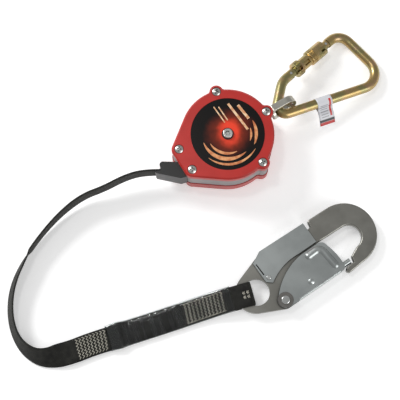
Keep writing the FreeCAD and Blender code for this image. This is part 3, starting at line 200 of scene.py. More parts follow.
def rolled_steel(name, base, shade, roughness, streak_mm, turn, depth_mm=0.01, painted_shade_mm=0.0):
    """Steel with a tumbled or drawn finish: short streaks along the turned way, over patches of dull and
    bright, and painted shade: hollows narrower than the given reach in millimetres are darkened towards
    near-black."""
    made, tree, shader = finish_material(name, roughness, 1.0)
    place = add(tree, "TexCoord", "Object")
    turned = add(tree, "Mapping", "Vector", Vector=place, Rotation=(0, 0, turn), Scale=(0.16, 1.0, 1.0))
    streak = add(tree, "TexNoise", "Fac", Vector=turned, Scale=MM / streak_mm, Detail=4.0)
    patch = add(tree, "TexNoise", "Fac", Vector=place, Scale=MM / 24.0, Detail=4.0)
    patch = add(tree, "MapRange", "Result", SMOOTH, Value=patch, From_Min=0.25, From_Max=0.75)
    tint = add(tree, "Mix", 2, RGBA, i0=patch, i6=shade, i7=base)
    if painted_shade_mm:
        # Painted shade: an occlusion test mixes near-black into the crevices and gaps where shade falls.
        painted_shade = add(tree, "AmbientOcclusion", "AO", {"samples": 8}, Distance=painted_shade_mm / MM)
        painted_shade = add(tree, "MapRange", "Result", SMOOTH, Value=painted_shade, From_Min=0.30, From_Max=0.85)
        tint = add(tree, "Mix", 2, RGBA, i0=painted_shade, i6="#121514", i7=tint)
    streaks = add(tree, "Math", 0, TIMES, i0=streak, i1=0.7)
    patches = add(tree, "Math", 0, TIMES, i0=patch, i1=0.3)
    both = add(tree, "Math", 0, PLUS, i0=streaks, i1=patches)
    rough = add(tree, "Math", 0, TIMES_PLUS, i0=both, i1=0.10, i2=roughness - 0.06)
    relief = add(tree, "Bump", "Normal", Height=streak, Distance=depth_mm / MM, Strength=0.4)
    wire(tree, shader, Base_Color=tint, Roughness=rough, Normal=relief)
    return made


def passivated_gold(name, base, roughness):
    """Yellow zinc plate: brass-gold steel whose thin film drifts to faint green and pink."""
    made, tree, shader = finish_material(name, roughness, 1.0)
    place = add(tree, "TexCoord", "Object")
    green = add(tree, "TexNoise", "Fac", Vector=place, Scale=MM / 16.0, Detail=3.0)
    green = add(tree, "MapRange", "Result", SMOOTH, Value=green, From_Min=0.42, From_Max=0.62)
    pink = add(tree, "TexNoise", "Fac", Vector=place, Scale=MM / 9.0, Detail=3.0)
    pink = add(tree, "MapRange", "Result", SMOOTH, Value=pink, From_Min=0.50, From_Max=0.70)
    pink = add(tree, "Math", 0, TIMES, i0=pink, i1=0.55)
    tint = add(tree, "Mix", 2, RGBA, i0=green, i6=base, i7="#9B9468")
    tint = add(tree, "Mix", 2, RGBA, i0=pink, i6=tint, i7="#C09A82")
    scuff = add(tree, "TexNoise", "Fac", Vector=place, Scale=MM / 1.3, Detail=4.0)
    rough = add(tree, "Math", 0, TIMES_PLUS, i0=scuff, i1=0.22, i2=roughness - 0.1)
    relief = add(tree, "Bump", "Normal", Height=scuff, Distance=0.012 / MM, Strength=0.35)
    wire(tree, shader, Base_Color=tint, Roughness=rough, Normal=relief)
    return made


def woven_webbing(name, base, light):
    """Woven polyester: ribs of yarn 1.5 mm apart that slant to and fro in stripes 4.2 mm wide, and yarns
    1.1 mm apart along it, both drawn a little coarse so that they show. It is matt, with a faint bloom."""
    made, tree, shader = finish_material(
        name, 0.72, Sheen_Weight=0.08, Sheen_Roughness=0.5, Sheen_Tint="#8C8C84", Specular_IOR_Level=0.25
    )
    uv = add(tree, "TexCoord", "UV")
    across = add(tree, "SeparateXYZ", "X", Vector=uv)
    along = add(tree, "SeparateXYZ", "Y", Vector=uv)
    fold = add(tree, "Math", 0, {"operation": "PINGPONG"}, i0=across, i1=0.0042)
    fold = add(tree, "Math", 0, TIMES, i0=fold, i1=0.8)
    slant = add(tree, "Math", 0, PLUS, i0=along, i1=fold)
    slant = add(tree, "Math", 0, TIMES, i0=slant, i1=2 * math.pi / 0.0015)
    rib = add(tree, "Math", 0, SINE, i0=slant)
    rib = add(tree, "Math", 0, TIMES, i0=rib, i1=0.34)
    yarn = add(tree, "Math", 0, TIMES, i0=across, i1=2 * math.pi / 0.0011)
    yarn = add(tree, "Math", 0, SINE, i0=yarn)
    yarn = add(tree, "Math", 0, TIMES, i0=yarn, i1=0.16)
    weave = add(tree, "Math", 0, PLUS, i0=rib, i1=yarn)
    weave = add(tree, "Math", 0, PLUS, i0=weave, i1=0.5)
    crown = add(tree, "MapRange", "Result", SMOOTH, Value=weave, From_Min=0.1, From_Max=0.95)
    place = add(tree, "TexCoord", "Object")
    fuzz = add(tree, "TexNoise", "Fac", Vector=place, Scale=MM / 7.0, Detail=3.0)
    fuzz = add(tree, "MapRange", "Result", SMOOTH, Value=fuzz, From_Min=0.1, From_Max=0.8)
    tone = add(tree, "Math", 0, TIMES, i0=crown, i1=fuzz)
    tint = add(tree, "Mix", 2, RGBA, i0=tone, i6=base, i7=light)
    relief = add(tree, "Bump", "Normal", Height=weave, Distance=0.28 / MM, Strength=0.8)
    wire(tree, shader, Base_Color=tint, Normal=relief)
    return made


def printed_decal():
    """Gloss-laminated print: black with a soft ember glow round the hub, and no lettering or figure."""
    made, tree, shader = finish_material("laminated_print", 0.30, Specular_IOR_Level=0.22)
    place = add(tree, "TexCoord", "Object")
    flat = add(
        tree, "Mapping", "Vector", Vector=place, Location=(-0.002, -0.001, 0.0), Scale=(1.0, 1.0, 0.0)
    )
    reach = add(tree, "VectorMath", "Value", {"operation": "LENGTH"}, i0=flat)
    drift = add(tree, "TexNoise", "Fac", Vector=place, Scale=MM / 22.0, Detail=3.0)
    drift = add(tree, "Math", 0, {"operation": "SUBTRACT"}, i0=drift, i1=0.5)
    drift = add(tree, "Math", 0, TIMES, i0=drift, i1=0.020)
    reach = add(tree, "Math", 0, PLUS, i0=reach, i1=drift)
    glow = add(tree, "MapRange", "Result", SMOOTH, Value=reach, From_Min=0.029, From_Max=0.010)
    hot = add(tree, "MapRange", "Result", SMOOTH, Value=reach, From_Min=0.0175, From_Max=0.0075)
    smoke = add(tree, "TexNoise", "Fac", Vector=place, Scale=MM / 14.0, Detail=3.0)
    tint = add(tree, "Mix", 2, RGBA, i0=smoke, i6="#050809", i7="#120B09")
    tint = add(tree, "Mix", 2, RGBA, i0=glow, i6=tint, i7="#7A2A18")
    tint = add(tree, "Mix", 2, RGBA, i0=hot, i6=tint, i7="#E2432C")
    peel = add(tree, "TexNoise", "Fac", Vector=place, Scale=MM / 0.5, Detail=3.0)
    relief = add(tree, "Bump", "Normal", Height=peel, Distance=0.01 / MM, Strength=0.2)
    wire(tree, shader, Base_Color=tint, Normal=relief)
    return made


def flat_ink(name, base, shade):
    """Screen-printed ink: a flat colour, a little uneven."""
    made, tree, shader = finish_material(name, 0.38)
    place = add(tree, "TexCoord", "Object")
    cloud = add(tree, "TexNoise", "Fac", Vector=place, Scale=MM / 5.0, Detail=3.0)
    cloud = add(tree, "MapRange", "Result", SMOOTH, Value=cloud, From_Min=0.3, From_Max=0.7)
    tint = add(tree, "Mix", 2, RGBA, i0=cloud, i6=shade, i7=base)
    mesh_print = add(tree, "TexNoise", "Fac", Vector=place, Scale=MM / 0.4, Detail=3.0)
    relief = add(tree, "Bump", "Normal", Height=mesh_print, Distance=0.01 / MM, Strength=0.2)
    wire(tree, shader, Base_Color=tint, Normal=relief)
    return made


def twisted_thread():
    """Bonded polyester thread: off-white plies that catch the light in short beads."""
    made, tree, shader = finish_material("bonded_thread", 0.62, Sheen_Weight=0.2)
    place = add(tree, "TexCoord", "Object")
    ply = add(tree, "TexNoise", "Fac", Vector=place, Scale=MM / 0.7, Detail=2.0)
    tone = add(tree, "MapRange", "Result", SMOOTH, Value=ply, From_Min=0.3, From_Max=0.7)
    tint = add(tree, "Mix", 2, RGBA, i0=tone, i6="#8A877A", i7="#CFCBBD")
    relief = add(tree, "Bump", "Normal", Height=ply, Distance=0.08 / MM, Strength=0.6)
    wire(tree, shader, Base_Color=tint, Normal=relief)
    return made


def clear_film():
    """Heat-shrunk clear vinyl: thin, glossy and slightly smoky, with shallow wrinkles along it."""
    made, tree, shader = finish_material(
        "clear_vinyl_film", 0.09, Transmission_Weight=1.0, IOR=1.40, Base_Color="#EEF1F0"
    )
    place = add(tree, "TexCoord", "Object")
    along = add(tree, "Mapping", "Vector", Vector=place, Rotation=(0, 0, -0.30), Scale=(0.35, 1.0, 1.0))
    wrinkle = add(tree, "TexNoise", "Fac", Vector=along, Scale=MM / 6.0, Detail=2.0)
    relief = add(tree, "Bump", "Normal", Height=wrinkle, Distance=0.22 / MM, Strength=0.3)
    wire(tree, shader, Normal=relief)
    return made


def black_wrap():
    """Black heat-shrink tube: smooth and glossy, with slow waves from the shrinking."""
    made, tree, shader = finish_material("black_shrink_wrap", 0.22, Specular_IOR_Level=0.45)
    place = add(tree, "TexCoord", "Object")
    cloud = add(tree, "TexNoise", "Fac", Vector=place, Scale=MM / 12.0, Detail=3.0)
    tint = add(tree, "Mix", 2, RGBA, i0=cloud, i6="#060705", i7="#11120F")
    wave = add(tree, "TexNoise", "Fac", Vector=place, Scale=MM / 14.0, Detail=1.0)
    relief = add(tree, "Bump", "Normal", Height=wave, Distance=0.35 / MM, Strength=0.3)
    wire(tree, shader, Base_Color=tint, Normal=relief)
    return made


def tag_vinyl():
    """Soft white vinyl with plain printed bands: red down one edge, grey rules, a dark and a red foot."""
    made, tree, shader = finish_material("printed_tag_vinyl", 0.36, Coat_Weight=0.2, Coat_Roughness=0.2)
    uv = add(tree, "TexCoord", "UV")
    across = add(tree, "SeparateXYZ", "X", Vector=uv)
    down = add(tree, "SeparateXYZ", "Y", Vector=uv)
    # Rules 3 mm apart, each about two fifths of that thick, at just over half the strength of the ink.
    rules = add(tree, "Math", 0, TIMES, i0=down, i1=2100.0)
    rules = add(tree, "Math", 0, SINE, i0=rules)
    rules = add(tree, "Math", 0, {"operation": "GREATER_THAN"}, i0=rules, i1=0.35)
    rules = add(tree, "Math", 0, TIMES, i0=rules, i1=0.55)
    # Each band's ink strength, its limits across and down the tag in metres, and its colour.
    bands = (
        (rules, 0.0030, 0.0118, 0.0110, 0.0290, "#55555A"),
        (1.0, 0.0135, 0.0160, 0.0060, 0.0280, "#C6302B"),
        (1.0, -1.0, 1.0, 0.0305, 0.0335, "#222224"),
        (1.0, -1.0, 1.0, 0.0338, 0.0375, "#BE2C27"),
    )
    tint = "#D2D3D8"
    for ink, left, right, top, foot, code in bands:
        for side, value, edge in (
            ("GREATER_THAN", across, left),
            ("LESS_THAN", across, right),
            ("GREATER_THAN", down, top),
            ("LESS_THAN", down, foot),
        ):
            inside = add(tree, "Math", 0, {"operation": side}, i0=value, i1=edge)
            ink = add(tree, "Math", 0, TIMES, i0=inside, i1=ink)
        tint = add(tree, "Mix", 2, RGBA, i0=ink, i6=tint, i7=code)
    place = add(tree, "TexCoord", "Object")
    ripple = add(tree, "TexNoise", "Fac", Vector=place, Scale=MM / 3.0, Detail=3.0)
    relief = add(tree, "Bump", "Normal", Height=ripple, Distance=0.05 / MM, Strength=0.3)
    wire(tree, shader, Base_Color=tint, Normal=relief)
    return made


# Plastics: colour and its shade, roughness, grain size and grain depth.
# Covers: an even deep red whose rounded edges carry soft window lights.
red_abs = moulded_plastic("moulded_red_abs", "#B0211A", "#A51D16", 0.38, 0.45, 0.03)
# Band between the covers: a warm grey that is duller and looks a little dry.
grey_abs = moulded_plastic("moulded_grey_abs", "#8F8988", "#837D7D", 0.48, 0.45, 0.04)
# Webbing guide and hub washer: near black, with a low soft gloss.
black_nylon = moulded_plastic("moulded_black_nylon", "#0E0E0E", "#090909", 0.40, 0.4, 0.03)
# Rear label: pale paper under film, slightly mottled.
label_stock = moulded_plastic("plain_label_stock", "#CFCFCB", "#C4C4C0", 0.45, 1.2, 0.02)

# Steels and alloys: colour and its shade, roughness, streak size and streak direction.
# Screws: bright and cool, with painted shade in their sockets and slots.
bright_zinc = rolled_steel("bright_zinc_plate", "#DADBD6", "#B9BAB6", 0.30, 1.2, 0.4, painted_shade_mm=2.2)
# Plates, shaft and nuts: plain pale plate.
plated = rolled_steel("zinc_plated_steel", "#C9C8C4", "#ADACA8", 0.38, 1.6, 0.2)
# Ratchet ring and pawls: dark grey, oily and fairly sharp in its lights.
hardened = rolled_steel("oiled_hard_steel", "#8E8E90", "#6F6F72", 0.34, 1.4, 0.9)
# Springs: bluish grey with a clean gloss.
spring_blue = rolled_steel("blued_spring_steel", "#6E7480", "#555A66", 0.30, 2.0, 0.0)
# Bushes: brown bronze with a fine dull grain.
bronze = rolled_steel("sintered_bronze", "#B98B55", "#A0733F", 0.42, 0.6, 0.0)
# Drum: pale aluminium with fine turning marks.
cast_alloy = rolled_steel("turned_aluminium", "#C6C8CA", "#AEB0B2", 0.36, 0.9, 0.0)
# Shackle: pale steel whose edges are softened by tumbling, with streaks along the strap.
shackle_steel = rolled_steel("tumbled_steel", "#D9D8CF", "#B8B6AC", 0.33, 1.0, -0.54)
# Hook body: warm mid grey and pebbled, with painted shade where the sheets lie on it.
hook_forged = rolled_steel(
    "forged_tumbled_steel", "#94938D", "#85847E", 0.40, 1.1, -0.576, depth_mm=0.03, painted_shade_mm=7.0
)
# Hook gate and lever: cooler satin sheet with faint rolling marks and painted shade in the gaps.
hook_sheet = rolled_steel(
    "pressed_satin_steel", "#B3B8B7", "#A6ABAA", 0.36, 1.0, -0.576, depth_mm=0.012, painted_shade_mm=3.0
)
# Washers under the hook gate: dull and darker than what they hold.
dull_washer = rolled_steel("dull_plate", "#85837F", "#6E6C69", 0.5, 0.8, 0.0)
# Rivets and pins: the brightest metal, with small sharp lights.
rivet_bright = rolled_steel("bright_rivet", "#E2E4E2", "#C2C4C2", 0.24, 0.8, 0.0)

# Carabiner rod: warm brass gold, scuffed, with long broken lights; the turned sleeve is a little brighter.
gold = passivated_gold("yellow_zinc_rod", "#B29A68", 0.33)
gold_turned = passivated_gold("yellow_zinc_turned", "#BCA473", 0.28)

# Webbing: matt black ribs with grey crowns; the wound coil is a shade softer.
webbing_black = woven_webbing("black_woven_polyester", "#080807", "#33332E")
webbing_coil = woven_webbing("black_woven_polyester_coil", "#0B0B0A", "#2B2B27")

decal_print = printed_decal()
# Label marks: pale cream bars and tan crescents in flat ink.
ink_cream = flat_ink("cream_ink", "#E7C9A4", "#C98A5C")
ink_tan = flat_ink("tan_ink", "#DFA06C", "#B8693C")
thread = twisted_thread()
film = clear_film()
wrap_black = black_wrap()
tag_print = tag_vinyl()

NODE_FINISH = {
    "front_cover": red_abs,
    "rear_cover": red_abs,
    "centre_frame": grey_abs,
    "front_decal": decal_print,
    "rear_label": label_stock,
    "rear_side_plate": plated,
    "front_side_plate": plated,
    "frame_spacers": plated,
    "clinch_nuts": plated,
    "front_cover_screws": bright_zinc,
    "rear_cover_screws": bright_zinc,
    "main_shaft": plated,
    "hub_washer": black_nylon,
    "hub_screw": bright_zinc,
    "drum": cast_alloy,
    "drum_front_flange": plated,
    "drum_bushes": bronze,
    "wound_webbing": webbing_coil,
    "webbing_anchor_pin": plated,
    "webbing_lead": webbing_coil,
    "spring_cup": plated,
    "spring_arbor": plated,
    "power_spring": spring_blue,
    "ratchet_ring": hardened,
    "pawl_a": hardened,
    "pawl_b": hardened,
    "pawl_pins": plated,
    "pawl_springs": spring_blue,
    "webbing_guide": black_nylon,
    "swivel_post": plated,
    "swivel_stud": plated,
    "shackle_link": shackle_steel,
    "carabiner_body": gold,
    "carabiner_gate": gold,
    "gate_hinge_pin": rivet_bright,
    "gate_latch_pin": rivet_bright,
    "gate_spring": spring_blue,
    "sleeve_spring": spring_blue,
    "carabiner_sleeve": gold_turned,
    "hook_body": hook_forged,
    "hook_gate": hook_sheet,
    "hook_lock_lever": hook_sheet,
    "hook_rivet": rivet_bright,
    "hook_gate_washers": dull_washer,
    "hook_lever_pin": rivet_bright,
    "hook_gate_spring": spring_blue,
    "hook_lever_spring": spring_blue,
}
for name, finish in NODE_FINISH.items():
    for spot in nodes[name].material_slots:
        spot.material = finish


# ------------------------------------------------------------------ mesh helpers


def place_piece(mesh, name, body, finish):
    """Shows a finished mesh as a piece that rides on a body."""
    mesh.materials.append(finish)
    mesh.update()
    made = bpy.data.objects.new(name, mesh)
    scene.collection.objects.link(made)
    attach(made, body)
    return made


def surface(name, rows, body, finish, uv, closed=False, caps=False):
    """A mesh over a grid of points, rows by columns: each point joins the next in its row and its column.
    A closed grid's rows are rings, and caps are flat faces over its first and last ring."""
    count, width = rows.shape[:2]
    row = np.arange(count - 1)
    column = np.arange(width if closed else width - 1)
    a, b = np.meshgrid(row, column, indexing="ij")
    a2, b2 = a + 1, (b + 1) % width
    corners = [a * width + b, a * width + b2, a2 * width + b2, a2 * width + b]
    faces = np.stack(corners, axis=-1).reshape(-1, 4).tolist()
    if caps:
        faces.append(list(range(width - 1, -1, -1)))
        faces.append(list(range((count - 1) * width, count * width)))
    mesh = bpy.data.meshes.new(name)
    mesh.from_pydata(rows.reshape(-1, 3).tolist(), [], faces)
    mesh.polygons.foreach_set("use_smooth", np.ones(len(faces), dtype=bool))
    layer = mesh.uv_layers.new(name="UVMap")
    loops = np.zeros(len(mesh.loops), dtype=np.int32)
    mesh.loops.foreach_get("vertex_index", loops)
    layer.data.foreach_set("uv", uv.reshape(-1, 2)[loops].astype(np.float32).ravel())
    return place_piece(mesh, name, body, finish)


def spline_points(name, control):
    """The points of a smooth curve of order three whose control points are given."""
    data = bpy.data.curves.new(name, "CURVE")
    data.dimensions = "3D"
    data.resolution_u = 14
    line = data.splines.new("NURBS")
    line.points.add(len(control) - 1)
    for point, place in zip(line.points, control):
        point.co = (*place, 1.0)
    line.order_u = 3
    line.use_endpoint_u = True
    holder = bpy.data.objects.new(name, data)
    scene.collection.objects.link(holder)
    mesh = bpy.data.meshes.new_from_object(holder)
    points = np.zeros(len(mesh.vertices) * 3)
    mesh.vertices.foreach_get("co", points)
    bpy.data.objects.remove(holder)
    bpy.data.meshes.remove(mesh)
    bpy.data.curves.remove(data)
    return points.reshape(-1, 3)


def unit(vectors):
    """Each vector over its own length."""
    return vectors / np.linalg.norm(vectors, axis=-1, keepdims=True)


def ways_along(points):
    """The unit tangents of a line of points, from each point's two neighbours."""
    return unit(np.gradient(points, axis=0))


def run_lengths(points):
    """How far along the line each point is."""
    return np.concatenate([[0.0], np.cumsum(np.linalg.norm(np.diff(points, axis=0), axis=1))])


def smooth_step(value):
    """Nought to one as value goes from nought to one, three squares less two cubes, level at both ends."""
    share = np.clip(value, 0.0, 1.0)
    return share * share * (3 - 2 * share)


# ------------------------------------------------------------------ webbing


def lean(height):
    """How far the webbing stands up when its lower edge is on the floor: the angle whose sine is
    height over half the diagonal, less the diagonal's own angle; upright once it is off the floor."""
    half, thick = WEB_W / 2, WEB_T / 2
    slant, least = math.hypot(half, thick), math.atan2(thick, half)
    rise = (height - FLOOR_GAP) / slant
    low = np.maximum(0.0, np.arcsin(np.clip(rise, 0.0, 1.0)) - least)
    high = np.minimum(math.pi / 2, math.pi / 2 - least + (rise - 1) * 0.25)
    return np.where(rise >= 1, high, low)


line = spline_points("webbing_route", ROUTE)
line_way = ways_along(line)
line_run = run_lengths(line)
leftmost = int(np.argmin(line[:, 0]))
order = np.arange(len(line))
laid = smooth_step((FLAT_AT_X - line[:, 0]) / (FLAT_AT_X - FLAT_FROM_X))
tilt = lean(line[:, 2]) * np.where(order > leftmost, laid, 1.0)
level = unit(np.stack([-line_way[:, 1], line_way[:, 0], np.zeros(len(line))], axis=1))
upward = np.cross(line_way, level)
upward = upward * np.sign(upward[:, 2:3] + 1e-9)
line_wide = level * np.cos(tilt)[:, None] + upward * np.sin(tilt)[:, None]
# line_flat is square to the band's face and points down; upper is the same line pointing up.
line_flat = unit(np.cross(line_wide, line_way))
line_flat = line_flat * np.where(line_flat[:, 2:3] <= 0, 1.0, -1.0)
upper = line_flat * np.sign(line_flat[:, 2:3] + 1e-9)


def rounded_ring(columns, power):
    """A superellipse round a unit square: at each angle its reach is one over the power's root of the
    cosine and sine raised to that power and added, so a high power gives flat sides and tight corners."""
    angle = np.linspace(0, 2 * math.pi, columns, endpoint=False)
    c, s = np.cos(angle), np.sin(angle)
    reach = (np.abs(c) ** power + np.abs(s) ** power) ** (-1 / power)
    return angle, reach * c, reach * s


def band(name, points, wide, flat, run):
    """A flat band carried along a line: each section is a rounded ring, half the webbing's width along
    its wide way and half its thickness along its flat way. The pattern runs across and along in metres."""
    _, across, through = rounded_ring(columns=28, power=8)
    across, through = across * WEB_W / 2, through * WEB_T / 2
    rows = points[:, None] + wide[:, None] * across[None, :, None] + flat[:, None] * through[None, :, None]
    uv = np.stack(np.broadcast_arrays(across[None, :] + 0.5, run[:, None]), axis=-1)
    return surface(name, rows, "housing", webbing_black, uv, closed=True, caps=True)


webbing = band("webbing", line, line_wide, line_flat, line_run)
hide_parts("webbing_line")

# The tail: down through the hook's eye, then back under the line to its sewn end.
heading = np.array([math.cos(WEB_HEADING), math.sin(WEB_HEADING)])


def at_eye(along, height):
    """A point in the upright plane of the webbing's heading through the hook's eye."""
    return (HOOK_EYE[0] + heading[0] * along, HOOK_EYE[1] + heading[1] * along, height)


low_z = ROUTE[SEWN_FROM][2] - LAYER_STEP
tail_route = [
    at_eye(-0.0062, 0.0131),
    at_eye(-0.0046, 0.0131),
    at_eye(-0.0050, 0.0112),
    at_eye(-0.0050, 0.0042),
    at_eye(-0.0050, 0.0021),
    at_eye(-0.0085, 0.0021),
    at_eye(-0.0240, 0.0020),
    *[(x, y, low_z) for x, y, z in reversed(ROUTE[SEWN_FROM:-2])],
    (-0.1560, -0.2239, low_z),
    (-0.1625, -0.2265, low_z),
]
tail = spline_points("tail_route", tail_route)
tail_way = ways_along(tail)
tail_run = run_lengths(tail)
# Where the tail goes straight down it has no level way of its own, and keeps the way across the heading.
cross_way = np.array([-heading[1], heading[0], 0.0])
tail_level = np.stack([tail_way[:, 1], -tail_way[:, 0], np.zeros(len(tail))], axis=1)
flatness = np.linalg.norm(tail_level, axis=1)
turned = tail_level * np.sign(tail_level @ cross_way)[:, None]
share = smooth_step((flatness - 0.5) / 0.5)[:, None]
tail_wide = unit(turned * share + cross_way * (1 - share))
tail_flat = unit(np.cross(tail_way, tail_wide))
tail_band = band("webbing_tail", tail, tail_wide, tail_flat, tail_run)
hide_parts("webbing_end_loop")


# ------------------------------------------------------------------ stitching


def at_run(run, values):
    """The line's points or ways at given distances along it, each between its two neighbours."""
    return np.stack([np.interp(run, line_run, values[:, k]) for k in range(3)], axis=-1)


def on_webbing(run, across, lift):
    """Points over the webbing's upper face: the line's point at run, plus across times its wide way, plus
    half the thickness and the lift times its upward way."""
    spot, wide, face = at_run(run, line), at_run(run, line_wide), at_run(run, upper)
    return spot + wide * across[..., None] + face * (WEB_T / 2 + lift)[..., None]


def run_at_x(x):
    """How far along the webbing the sewn part reaches a given x."""
    later = order > leftmost
    return float(np.interp(x, line[later, 0], line_run[later]))


def threads(name, paths, radius):
    """Stitches: each path of points carries a ring of six corners, flattened to three quarters of its
    height and closed at both ends, and all are one mesh."""
    verts, faces = [], []
    turn = np.linspace(0, 2 * math.pi, 6, endpoint=False)
    for path in paths:
        way = ways_along(path)
        side = unit(np.cross(way, np.array([0.0, 0.0, 1.0])))
        over = np.cross(side, way)
        ring = side[:, None] * np.cos(turn)[None, :, None]
        ring = ring + over[:, None] * np.sin(turn)[None, :, None] * 0.75
        rows = path[:, None] + ring * radius
        base = sum(len(v) for v in verts)
        verts.append(rows.reshape(-1, 3))
        a, b = np.meshgrid(np.arange(len(path) - 1), np.arange(6), indexing="ij")
        c = (b + 1) % 6
        sides = np.stack([a * 6 + b, (a + 1) * 6 + b, (a + 1) * 6 + c, a * 6 + c], axis=-1)
        faces.append(sides.reshape(-1, 4) + base)
        for end in (np.arange(6), np.arange(5, -1, -1) + (len(path) - 1) * 6):
            faces.append(np.take(end, [[0, 1, 2, 3], [0, 3, 4, 5]]) + base)
    mesh = bpy.data.meshes.new(name)
    mesh.from_pydata(np.concatenate(verts).tolist(), [], np.concatenate(faces).tolist())
    mesh.polygons.foreach_set("use_smooth", np.ones(len(mesh.polygons), dtype=bool))
    return place_piece(mesh, name, "housing", thread)


# How far a zigzag row swings to each side, its stitches' unevenness, and the bare margin before a block.
ZIGZAG_SWING = 0.0012
UNEVEN_BY = 0.00018
ROW_MARGIN = 0.0015


def zigzag_rows(from_x, to_x, rows, half_w, seed):
    """Rows of zigzag stitch across the webbing: each row crosses in twelve straight stitches that swing
    forwards and back by ZIGZAG_SWING, slants by a tenth, and lifts as a half sine over each stitch."""
    first, last = run_at_x(from_x) + ROW_MARGIN, run_at_x(to_x) - ROW_MARGIN
    spread = np.random.default_rng(seed)
    corner = np.arange(13)
    fine = np.linspace(0, 12, 73)
    lift = 0.00010 + 0.00022 * np.abs(np.sin(fine * math.pi))
    paths = []
    for place in np.linspace(first, last, rows):
        across = np.linspace(-half_w, half_w, 13)
        swing = np.where(corner % 2 == 0, -ZIGZAG_SWING, ZIGZAG_SWING)
        run = place + swing + spread.normal(0, UNEVEN_BY, 13) + across * 0.10
        paths.append(on_webbing(np.interp(fine, corner, run), np.interp(fine, corner, across), lift))
    return paths


# The block under the clear cover, between these two places, also has a row along each edge.
BLOCK_FROM_X, BLOCK_TO_X = -0.0455, -0.0040
EDGE_POINTS = 60
stitch_paths = zigzag_rows(-0.1605, -0.1290, rows=9, half_w=0.0108, seed=3)
stitch_paths += zigzag_rows(BLOCK_FROM_X, BLOCK_TO_X, rows=11, half_w=0.0100, seed=5)
edge_run = np.linspace(run_at_x(BLOCK_FROM_X), run_at_x(BLOCK_TO_X), EDGE_POINTS)
edge_lift = np.abs(np.sin(np.arange(EDGE_POINTS) * 1.6)) * 0.0002 + 0.0001
for side in (-0.0104, 0.0104):
    stitch_paths.append(on_webbing(edge_run, np.full(EDGE_POINTS, side), edge_lift))
stitching = threads("zigzag_stitching", stitch_paths, radius=0.00030)

# Eight short bar tacks in two blocks beside the hook's eye, each 3 mm long with a slight wave.
TACK_LENGTH = 0.0030
tack_paths = []
share = np.linspace(0, 1, 14)
for place in (0.0175, 0.0188, 0.0218, 0.0231):
    for start in (-0.0038, 0.0008):
        run = run_at_x(0.0040) + place - 0.0040 + 0.0005 * np.sin(share * 9.0)
        lift = 0.0001 + 0.0002 * np.sin(share * math.pi)
        tack_paths.append(on_webbing(run, start + share * TACK_LENGTH, lift))
tacks = threads("bar_tacks", tack_paths, radius=0.00032)


# ------------------------------------------------------------------ wraps over the stitching


WRAP_STATIONS = 90


def wrapped(name, from_x, to_x, right, left, lift, bulge, finish, wall):
    """A flattened tube round both layers of webbing. At each station along the line it is a rounded ring
    from just over the floor to lift over the upper layer, and right and left are how far it reaches each
    side of the line. bulge(share of its length) raises its top, and a third of that widens it."""
    run = np.linspace(run_at_x(from_x), run_at_x(to_x), WRAP_STATIONS)
    share = np.linspace(0, 1, WRAP_STATIONS)
    spot = at_run(run, line)
    way = unit(at_run(run, line_way) * [1, 1, 0])
    sideways = np.stack([-way[:, 1], way[:, 0], np.zeros(WRAP_STATIONS)], axis=1)
    swell = bulge(share)
    top = spot[:, 2] + WEB_T / 2 + lift + swell
    low = np.full(WRAP_STATIONS, 0.00012 + wall)
    middle, half_h = (top + low) / 2, (top - low) / 2
    half_w = (left + right) / 2 + swell * 0.35
    angle, out, rise = rounded_ring(columns=48, power=7)
    out = out[None, :] * half_w[:, None] + (left - right) / 2
    rows = spot[:, None] + sideways[:, None] * out[..., None]
    rows[..., 2] = rise[None, :] * half_h[:, None] + middle[:, None]
    uv = np.stack(np.broadcast_arrays(angle[None, :] * 0.01, run[::-1, None]), axis=-1)
    made = surface(name, rows[::-1], "housing", finish, uv, closed=True)
    solid = made.modifiers.new("wall", "SOLIDIFY")
    solid.thickness = wall
    solid.offset = 1.0
    return made


def pack_bulge(share):
    """A fat collar, as a bell curve over the first fifth, then a long even body that fades at its end."""
    collar = np.exp(-((share - 0.13) / 0.085) ** 2) * 0.0024
    return collar + 0.0003 * smooth_step((1 - share) / 0.1)


def film_bulge(share):
    """The same collar a little larger, then slow and quick ripples as two sines."""
    collar = np.exp(-((share - 0.08) / 0.055) ** 2) * 0.0026
    return collar + 0.00012 * np.sin(share * 37.0) + 0.0001 * np.sin(share * 91.0 + 1.0)


pack_wrap = wrapped(
    "absorber_wrap",
    from_x=-0.1265,
    to_x=-0.0490,
    right=0.0129,
    left=0.0131,
    lift=0.00012,
    bulge=pack_bulge,
    finish=wrap_black,
    wall=0.00020,
)
cover = wrapped(
    "clear_cover",
    from_x=-0.1275,
    to_x=0.0050,
    right=0.0134,
    left=0.0141,
    lift=0.00045,
    bulge=film_bulge,
    finish=film,
    wall=0.00012,
)
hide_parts("stitch_cover")


# ------------------------------------------------------------------ decal marks


INK_LIFT = 0.00004


def mark_strip(centre_line, half_width):
    """A flat printed mark: three columns of points along a line in the label's plane, spread to each side
    of it by half_width, just over the print."""
    way = unit(np.gradient(centre_line, axis=0))
    left = np.stack([-way[:, 1], way[:, 0]], axis=1)
    spread = half_width[:, None] * np.linspace(1, -1, 3)[None, :]
    flat = centre_line[:, None] + left[:, None] * spread[..., None]
    return np.concatenate([flat, np.full(flat.shape[:2] + (1,), DECAL_TOP + INK_LIFT)], axis=-1)


def crescent(radius, from_deg, to_deg, thick):
    """A mark along an arc round the hub: its width is thick times the sine of its share, raised to 0.7,
    so it is fullest in the middle and comes to a point at each end."""
    angle = np.radians(np.linspace(from_deg, to_deg, 40))
    path = np.stack([radius * np.cos(angle), radius * np.sin(angle)], axis=1)
    fullness = np.sin(math.pi * np.linspace(0, 1, 40)) ** 0.7
    return mark_strip(path, thick / 2 * fullness + 0.00003)


def plain_bar(start, end, thick):
    """A straight bar between two points."""
    share = np.linspace(0, 1, 12)[:, None]
    return mark_strip(np.array(start) * (1 - share) + np.array(end) * share, np.full(12, thick / 2))


